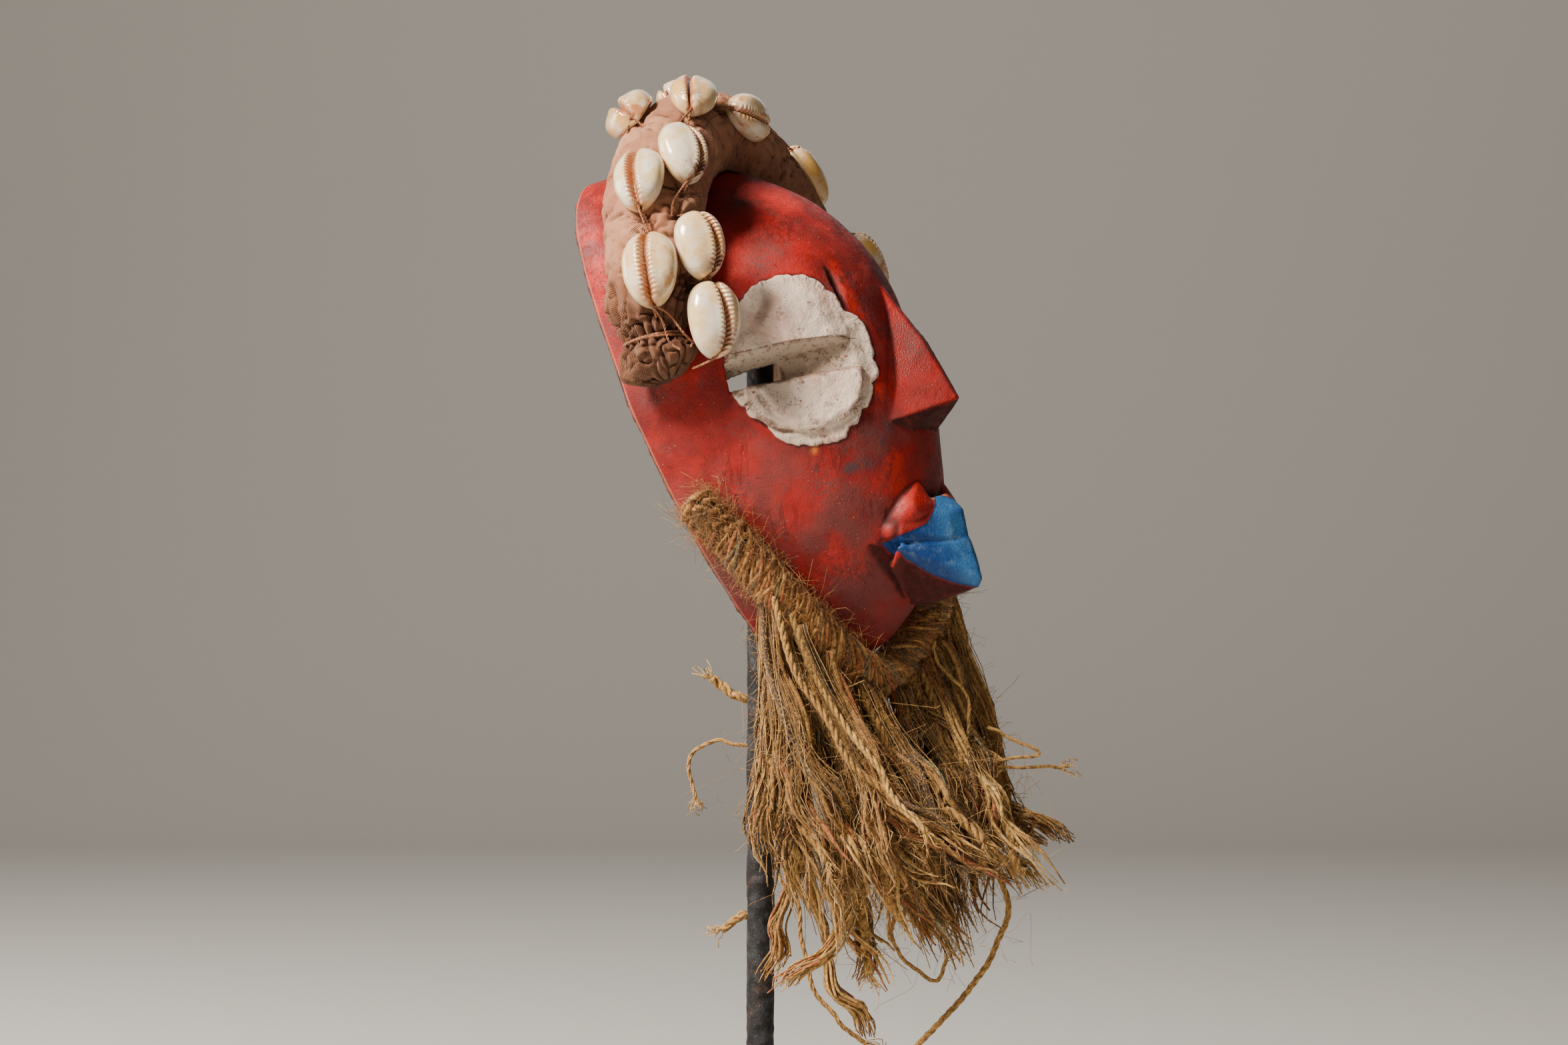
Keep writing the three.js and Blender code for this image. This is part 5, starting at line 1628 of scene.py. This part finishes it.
# Soft tow on the rope: curling fibres that lie along its skin and stand off it a little
def buildTow(material):
    local = np.random.default_rng(93)
    count = ropeLook["tow"]
    centre, along, ahead, out = ropeAxes(local.uniform(0.005, 0.98, count))
    away = wheel(ahead, out, local.uniform(0, 2 * np.pi, count))
    root = centre + away * (ropeLook["core"] + local.uniform(0.9, 1.9, count))[:, None]
    lying = along * local.choice([-0.7, 0.7], count)[:, None]
    lying = lying + np.cross(along, away) * local.uniform(-1.0, 1.0, count)[:, None]
    way = unit(lying + away * local.uniform(-0.1, 0.3, count)[:, None])
    paths = toWorld(hairs(root, way, local.uniform(2.5, 7.0, count), 5, 1.5, 94))
    tones, dyes = local.uniform(0.2, 0.95, count), local.uniform(0.1, 0.95, count)
    Strands().add(paths, ropeLook["towRadius"], 3, tones, dyes).finish("ropeTow", material, "rope")


# Jute: from dark to light by each yarn's tone, a few yarns dyed red or green, finely mottled
def juteMaterial(name, colors):
    mix = Mix(name, colors)
    tone, dye = mix.read("tone"), mix.read("dye")
    mix.base(mix.spread(tone, 0.0, 0.5), "dark", "main")
    mix.coat("light", mix.spread(tone, 0.5, 1.0))
    mix.coat("red", mix.spread(dye, 0.90, 0.95), 0.8)
    mix.coat("green", mix.spread(dye, 0.12, 0.05), 0.8)
    mix.coat("dark", mix.patch(700.0, 0.42, 0.62, 5.0), 0.6)
    mix.coat("light", mix.patch(1700.0, 0.52, 0.64, 2.0), 0.45)
    mix.grain(2200.0, 0.00035)
    return mix.finish({"Roughness": 0.75, "Specular IOR Level": 0.3, "Sheen Weight": 0.15})


buildRope(juteMaterial("juteRope", jute))

# Beard of loose yarn
fringe = {"startDeg": 246, "outerDrop": 60, "innerDrop": 96, "sideDrop": 98, "outerSweep": 50,
          "innerSweep": 10, "sideSweep": 9, "halfThick": 6}
beardLook = {"locks": 66, "points": 26, "yarnsPerLock": 11, "fibresPerLock": 33, "thickYarns": 18,
             "fuzz": 3400, "flyaways": 460, "lockWaver": 12.0, "lockWave": 4.2, "flick": 15.0,
             "lockRadius": 3.0, "combed": 0.42, "fibreRadius": 0.15, "fuzzRadius": 0.055,
             "flyRadius": 0.06, "plyPitch": 10.0, "spray": 14, "sprayRadius": 0.16}
beardColor = {"dark": rgb(0.04, 0.015, 0.004), "main": rgb(0.36, 0.165, 0.034),
              "light": rgb(0.80, 0.47, 0.14),
              "green": rgb(0.13, 0.14, 0.08), "red": rgb(0.45, 0.10, 0.035)}


# Place in the beard: share along the jaw, layer from its outside (0) to its inside (1) and the
# part fallen s. It starts under the rope, falls by its drop and is swept forward by s to 1.4
def beardPlace(share, layer, s):
    share, layer, s = np.broadcast_arrays(share, layer, s)
    angle = fringe["startDeg"] + (540 - 2 * fringe["startDeg"]) * share
    t = (angle - rope["startDeg"]) / (540 - 2 * rope["startDeg"])
    root = toWorld(ropeCentre(t))
    along = unit(toWorld(ropeCentre(t + 0.005)) - toWorld(ropeCentre(t - 0.005)))
    down = unit(np.array([0, 0, -1.0]) + along * along[..., 2:3])
    out = -np.cross(along, down)
    front = np.sin(np.pi * np.clip(share, 0, 1))

    def between(side, middle):
        return fringe[side] + (fringe[middle] - fringe[side]) * front

    sweep = between("sideSweep", "outerSweep") * (1 - layer) + between("sideSweep", "innerSweep") * layer
    drop = between("sideDrop", "outerDrop") * (1 - layer) + between("sideDrop", "innerDrop") * layer
    swell = 1 + 0.5 * np.sin(np.pi * np.clip(s, 0, 1)) - 0.35 * s
    start = root + down * (rope["radius"] * 0.45)
    places = start + out * ((1 - 2 * layer) * fringe["halfThick"] * swell)[..., None]
    places[..., 1] -= sweep * np.maximum(s, 0) ** 1.4
    places[..., 2] -= drop * s
    return places


# Smooth wandering of many paths: noise read along s for each path and axis
def wander(keys, s, scale, seed):
    spots = [np.stack([s * scale, keys + 0 * s, np.full(s.shape, axis * 5.3)], -1) for axis in range(3)]
    return np.stack([noise(spot, 1.0, seed) for spot in spots], -1)


# Middle lines of the locks: each falls at its own place in the beard, drifts and wavers by noise,
# is combed towards the front near the outside, and flicks out at its end
def lockPaths(count, points, seed):
    local = np.random.default_rng(seed)
    share = ((np.arange(count) + local.random(count)) / count)[:, None]
    layer = local.random(count)[:, None]
    length = local.uniform(0.84, 1.05, count)[:, None]
    s = np.linspace(0, 1, points)[None] * length
    keys = np.arange(count)[:, None] * 9.7
    drift = wander(keys, s, 1.5, seed)
    combed = beardLook["combed"] * smoothStep(0.55 - layer, 0, 0.2) * np.clip(1 - 2.2 * share, 0, 1) * s
    path = beardPlace(share + combed + 0.16 * drift[..., 0] * s,
                      np.clip(layer + 0.5 * drift[..., 1] * s, 0, 1), s)
    path = path + wander(keys, s, 2.6, seed + 1) * (beardLook["lockWaver"] * 0.55 * np.sqrt(s))[..., None]
    path = path + wander(keys, s, 7.0, seed + 4) * (beardLook["lockWave"] * np.sqrt(s))[..., None]
    way = unit(local.normal(size=(count, 1, 3)) * 0.8 + np.array([-0.2, -0.9, 0.5]))
    front = 0.5 + 1.2 * bell(share - 0.55, 0.2)
    flick = beardLook["flick"] * front * local.random(count)[:, None] ** 1.5 * s**4
    return path + way * flick[..., None], s


# Members of locks: each keeps to its lock's path at an offset that turns and closes along it
def memberPaths(lock, s, per, spreadOut, wobble, curl, seed, points):
    local = np.random.default_rng(seed)
    count = len(lock) * per
    path, t = np.repeat(lock, per, axis=0), np.repeat(s, per, axis=0)
    phase = local.uniform(0, 2 * np.pi, count)[:, None]
    turns = local.uniform(-2.2, 2.2, count)[:, None]
    waist = 0.5 + 0.8 * t - 0.55 * np.sin(np.pi * np.clip(t * 1.2, 0, 1)) ** 2
    reach = spreadOut * np.sqrt(local.random(count))[:, None] * waist
    turned = phase + turns * t * 2
    side = np.stack([np.cos(turned), np.sin(turned), 0.25 * np.sin(phase * 3 + t)], -1)
    keys = np.arange(count)[:, None] * 3.7 + seed
    path = path + side * reach[..., None]
    path = path + wander(keys, t, 3.5, seed + 2) * (wobble * np.sqrt(t))[..., None]
    path = path + wander(keys, t, 12.0, seed + 3) * (curl * t)[..., None]
    return path


# Cuts each path short at its own length by reading it again at fewer, evenly shared places
def shorten(paths, shares):
    count, points = paths.shape[:2]
    want = np.linspace(0, 1, points)[None] * shares[:, None] * (points - 1)
    k = np.clip(want.astype(int), 0, points - 2)
    f = (want - k)[..., None]
    rows = np.arange(count)[:, None]
    return paths[rows, k] * (1 - f) + paths[rows, k + 1] * f


# Paths kept within the solids' box, a few millimetres beyond it at the sides and the front
def keepInside(paths):
    low, high = (np.array(c) / mm for c in solidBox)
    return np.clip(paths, low + np.array([-4, -6, 62]), high + np.array([4, 0, 0]))


# Thick yarns: three plies wound round each path, which ends in a spray of loose fibres
def addThickYarns(strands, paths, radius, tone, local):
    count, spray = len(paths), beardLook["spray"]
    along, across, other = pathAxes(paths, [0.3, 0.9, 0.3])
    length = np.stack([runLength(path) for path in paths])
    for k in range(3):
        turn = length / beardLook["plyPitch"] * 2 * np.pi + k * 2 * np.pi / 3
        offset = wheel(across, other, turn) * (radius * 0.55)[:, None, None]
        strands.add(paths + offset, radius[:, None] * 0.62, 6, tone)
    root = np.repeat(paths[:, -1] - along[:, -1], spray, axis=0)
    way = unit(np.repeat(along[:, -1], spray, axis=0) + 0.55 * scatter(count * spray, 95))
    ends = keepInside(hairs(root, way, local.uniform(3.0, 8.0, count * spray), 7, 0.3, 96))
    strands.add(ends, beardLook["sprayRadius"], 4, np.repeat(np.clip(tone + 0.15, 0, 1), spray))


# Beard: yarns and fibres of the locks, thick yarns and strays, and short curls all over them
def buildBeard(material):
    look, points = beardLook, beardLook["points"]
    lock, s = lockPaths(look["locks"], points, 51)
    local = np.random.default_rng(52)
    yarns = memberPaths(lock, s, look["yarnsPerLock"], look["lockRadius"], 3.6, 1.7, 53, points)
    count = len(yarns)
    yarns = keepInside(shorten(yarns, local.uniform(0.68, 1.0, count)))
    tone = np.repeat(local.uniform(0.1, 0.9, look["locks"]), look["yarnsPerLock"])
    tone = np.clip(tone + local.normal(0, 0.14, count), 0, 1)
    thinning = 1 - 0.7 * smoothStep(np.linspace(0, 1, points), 0.84, 1.0)
    size = local.uniform(0.4, 1.05, count)[:, None] * thinning
    dye = local.random(count)
    for name, part, nodes in (("beardYarn1", slice(0, count // 2), ["beard_fringe"]),
                              ("beardYarn2", slice(count // 2, count), [])):
        strands = Strands().add(yarns[part], size[part], 5, tone[part], dye[part])
        strands.finish(name, material, "fringe", *nodes)
    fibres = memberPaths(lock, s, look["fibresPerLock"], look["lockRadius"] * 1.6, 5.0, 4.4, 54, points)
    count = len(fibres)
    fibres = keepInside(shorten(fibres, local.uniform(0.45, 1.0, count)))[:, ::2]
    tones, dyes = local.uniform(0.3, 1.0, count), local.random(count)
    Strands().add(fibres, look["fibreRadius"], 3, tones, dyes).finish("beardYarn3", material, "fringe")
    strands = Strands()
    thick, t = lockPaths(look["thickYarns"], 64, 61)
    count = len(thick)
    thick = keepInside(shorten(thick, local.uniform(0.7, 1.0, count)))
    addThickYarns(strands, thick, local.uniform(0.9, 1.45, count), local.uniform(0.45, 0.95, count), local)
    addStrays(strands, local)
    strands.finish("beardYarn4", material, "fringe")
    count = look["fuzz"]
    pick, spot = local.integers(0, len(yarns), count), local.integers(3, points - 1, count)
    way = unit(scatter(count, 97) + np.array([-0.3, -0.2, -0.2]))
    curls = keepInside(hairs(yarns[pick, spot], way, local.uniform(2, 9, count), 8, 1.3, 98))
    tones, dyes = local.uniform(0.5, 1.0, count), local.random(count)
    Strands().add(curls, look["fuzzRadius"], 3, tones, dyes).finish("beardYarn5", material, "fringe")


# Flyaway fibres: long thin hairs that leave the locks in the lower half of the beard and curl
def buildFlyaways(material):
    look, points = beardLook, 40
    local = np.random.default_rng(95)
    count = look["flyaways"]
    lock, s = lockPaths(look["locks"], points, 51)
    pick, spot = local.integers(0, len(lock), count), local.integers(14, points, count)
    onward = unit(lock[pick, spot] - lock[pick, spot - 3])
    way = unit(onward * 0.5 + scatter(count, 96) * 0.9)
    paths = keepInside(hairs(lock[pick, spot], way, local.uniform(5, 13, count), 14, 1.9, 97))
    tones, dyes = local.uniform(0.35, 1.0, count), local.uniform(0.1, 0.95, count)
    Strands().add(paths, look["flyRadius"], 3, tones, dyes).finish("beardYarn7", material, "fringe")


# Paths laid out in the photograph's frame, as corners in its pixels and a distance in mm towards
# the camera from the rod's axis. Thick brushes of yarn at the lower edge: corners, distance, tone
brushLocks = [([(1140, 1020), (1151, 1113), (1165, 1230), (1184, 1297), (1213, 1372)], 33, 0.9),
              ([(1262, 1240), (1279, 1363), (1222, 1440), (1156, 1486)], 34, 0.7),
              ([(1190, 1220), (1178, 1348), (1172, 1407), (1163, 1468)], 24, 0.5),
              ([(1250, 1230), (1294, 1370), (1301, 1436), (1286, 1486)], 26, 0.4),
              ([(1380, 1200), (1441, 1272), (1514, 1293), (1560, 1326)], 16, 0.7),
              ([(1400, 1090), (1470, 1190), (1529, 1252), (1568, 1266)], 8, 0.4),
              ([(1215, 1300), (1242, 1451), (1279, 1517), (1300, 1566)], 18, 0.6),
              ([(1400, 1150), (1480, 1200), (1560, 1225), (1610, 1262)], 10, 0.35)]


# Brushes: the yarns of each keep round its laid-out line
def buildBrushes(material):
    local = np.random.default_rng(58)
    points, per = beardLook["points"], 28
    lines = np.stack([picturePath(corners, toCamera, points) for corners, toCamera, tone in brushLocks])
    s = np.broadcast_to(np.linspace(0, 1, points)[None], lines.shape[:2])
    lines = lines + wander(np.arange(len(lines))[:, None] * 5.1, s, 6.0, 59) * 2.5
    yarns = memberPaths(lines, s, per, 2.8, 1.6, 1.6, 57, points)
    yarns = keepInside(shorten(yarns, local.uniform(0.86, 1.0, len(yarns))))
    tone = np.repeat([tone for corners, toCamera, tone in brushLocks], per)
    tone = np.clip(tone + local.normal(0, 0.12, len(yarns)), 0, 1)
    thinning = 1 - 0.6 * smoothStep(np.linspace(0, 1, points), 0.8, 1.0)
    size = local.uniform(0.3, 0.6, len(yarns))[:, None] * thinning
    strands = Strands().add(yarns, size, 5, tone, local.random(len(yarns)))
    strands.finish("beardYarn6", material, "fringe")


# Single long yarns that stand out from the mass: corners, radius, distance
strayYarns = [([(1430, 1180), (1507, 1335), (1494, 1424), (1447, 1492), (1372, 1575)], 0.9, 6),
              ([(1180, 1250), (1196, 1370), (1221, 1484), (1255, 1530), (1298, 1566)], 0.7, 2),
              ([(1165, 1120), (1115, 1117), (1070, 1112), (1034, 1139), (1043, 1198)], 0.6, -8),
              ([(1158, 1380), (1119, 1373), (1081, 1394)], 1.2, -6),
              ([(1160, 1055), (1107, 1045), (1070, 1019)], 1.4, -8),
              ([(1400, 960), (1405, 989), (1452, 1053), (1443, 1139)], 0.5, 12),
              ([(1480, 1090), (1558, 1130), (1503, 1139)], 0.5, 10),
              ([(1440, 1120), (1500, 1150), (1590, 1150)], 0.5, 4),
              ([(1330, 1330), (1340, 1420), (1400, 1470), (1420, 1440)], 0.6, 4)]


# Single yarns: a smooth path through the corners, moved by noise and plied like the thick ones
def addStrays(strands, local):
    points = 64
    for corners, radius, toCamera in strayYarns:
        path = picturePath(corners, toCamera, points)
        path = path + 0.8 * wander(np.full(points, radius * 31.0), np.linspace(0, 1, points), 9.0, 99)
        addThickYarns(strands, path[None], np.array([radius]), np.array([0.7]), local)


# The photograph's frame: its size in pixels, mm to one pixel at the rod, the camera's distance,
# and where the middle of the frame lies across and up
picture = {"wide": 2352, "high": 1568, "span": 0.245 / 1.176, "distance": 1156.9, "across": 7.47,
           "up": 233.17}


# Smooth path through places of the picture, all at one distance towards the camera from the axis
def picturePath(corners, toCamera, points):
    right, ahead = np.array([0.4695, -0.8829, 0]), np.array(view["look"])
    scale = (picture["distance"] - toCamera) / picture["distance"] * picture["span"]
    x, y = np.array(corners, float).T[..., None]
    places = ahead * -toCamera + right * (picture["across"] + (x - picture["wide"] / 2) * scale)
    places = places + np.array([0, 0, 1.0]) * (picture["up"] - (y - picture["high"] / 2) * scale)
    return smoothPath(places, points)


yarnSkin = juteMaterial("juteYarn", beardColor)
buildBeard(yarnSkin)
buildBrushes(yarnSkin)
buildFlyaways(yarnSkin)

# Iron rod and foot
iron = {"radius": 4.5, "bottom": 8.3, "top": 329.8, "dent": 0.22, "blister": 0.18, "rows": 640, "around": 56,
        "weldRadius": 5.3, "weldHeight": 8.7, "weldBead": 1.35,
        "black": rgb(0.010, 0.009, 0.009), "grey": rgb(0.036, 0.036, 0.040), "rust": rgb(0.14, 0.050, 0.022)}


# Forged iron: black and grey patches with specks of rust
def ironMaterial():
    mix = Mix("blackIron", iron)
    mix.base(mix.patch(220.0, 0.42, 0.62, 6.0), "black", "grey")
    mix.coat("rust", mix.both(mix.patch(90.0, 0.5, 0.7, 6.0), mix.patch(1300.0, 0.5, 0.6)))
    rough = mix.spread(mix.patch(400.0, 0.35, 0.65, 6.0), 0.0, 1.0, 0.38, 0.78)
    mix.grain(420.0, 0.0004)
    mix.grain(1500.0, 0.0002)
    return mix.finish({"Metallic": 0.35, "Roughness": rough})


# Rod: rings of the named radius, roughened by two sizes of noise
def buildRod(material):
    z = np.linspace(iron["bottom"], iron["top"], iron["rows"])[:, None]
    turn = fullTurn(iron["around"])[None]
    line = np.stack(np.broadcast_arrays(np.cos(turn) * iron["radius"], np.sin(turn) * iron["radius"], z), -1)
    skin = iron["dent"] * noise(line, 9, 61) + iron["blister"] * noise(line, 2.2, 62) - 0.25
    grid = line + np.stack([np.cos(turn) * skin, np.sin(turn) * skin, 0 * skin], -1)
    points = ringPoints(grid, [0, 0, iron["bottom"]], [0, 0, iron["top"]])
    piece = makePiece("rodBar", points, ringFaces(*grid.shape[:2]), material)
    fixDirection(piece)
    place(piece, "iron", "stand_rod")


# Weld: a rippled ring round the rod where it meets the foot
def buildWeld(material):
    turn = np.linspace(0, 2 * np.pi + 0.12, 110)
    ring = np.stack([np.cos(turn), np.sin(turn), 0 * turn], -1) * iron["weldRadius"]
    ring[:, 2] = iron["weldHeight"]
    ripple = iron["weldBead"] + 0.16 * np.abs(np.sin(turn * 9)) + 0.2 * noise(ring, 2.5, 63)
    body, (quads, caps) = tubeBundle(ring[None], ripple[None], 14)
    place(makePiece("weldBead", body, [quads, caps], material), "iron")


rodMaterial = ironMaterial()
buildRod(rodMaterial)
buildWeld(rodMaterial)
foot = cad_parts["stand_base"]
foot.data.materials.clear()
foot.data.materials.append(rodMaterial)
print("stage: rod and foot")
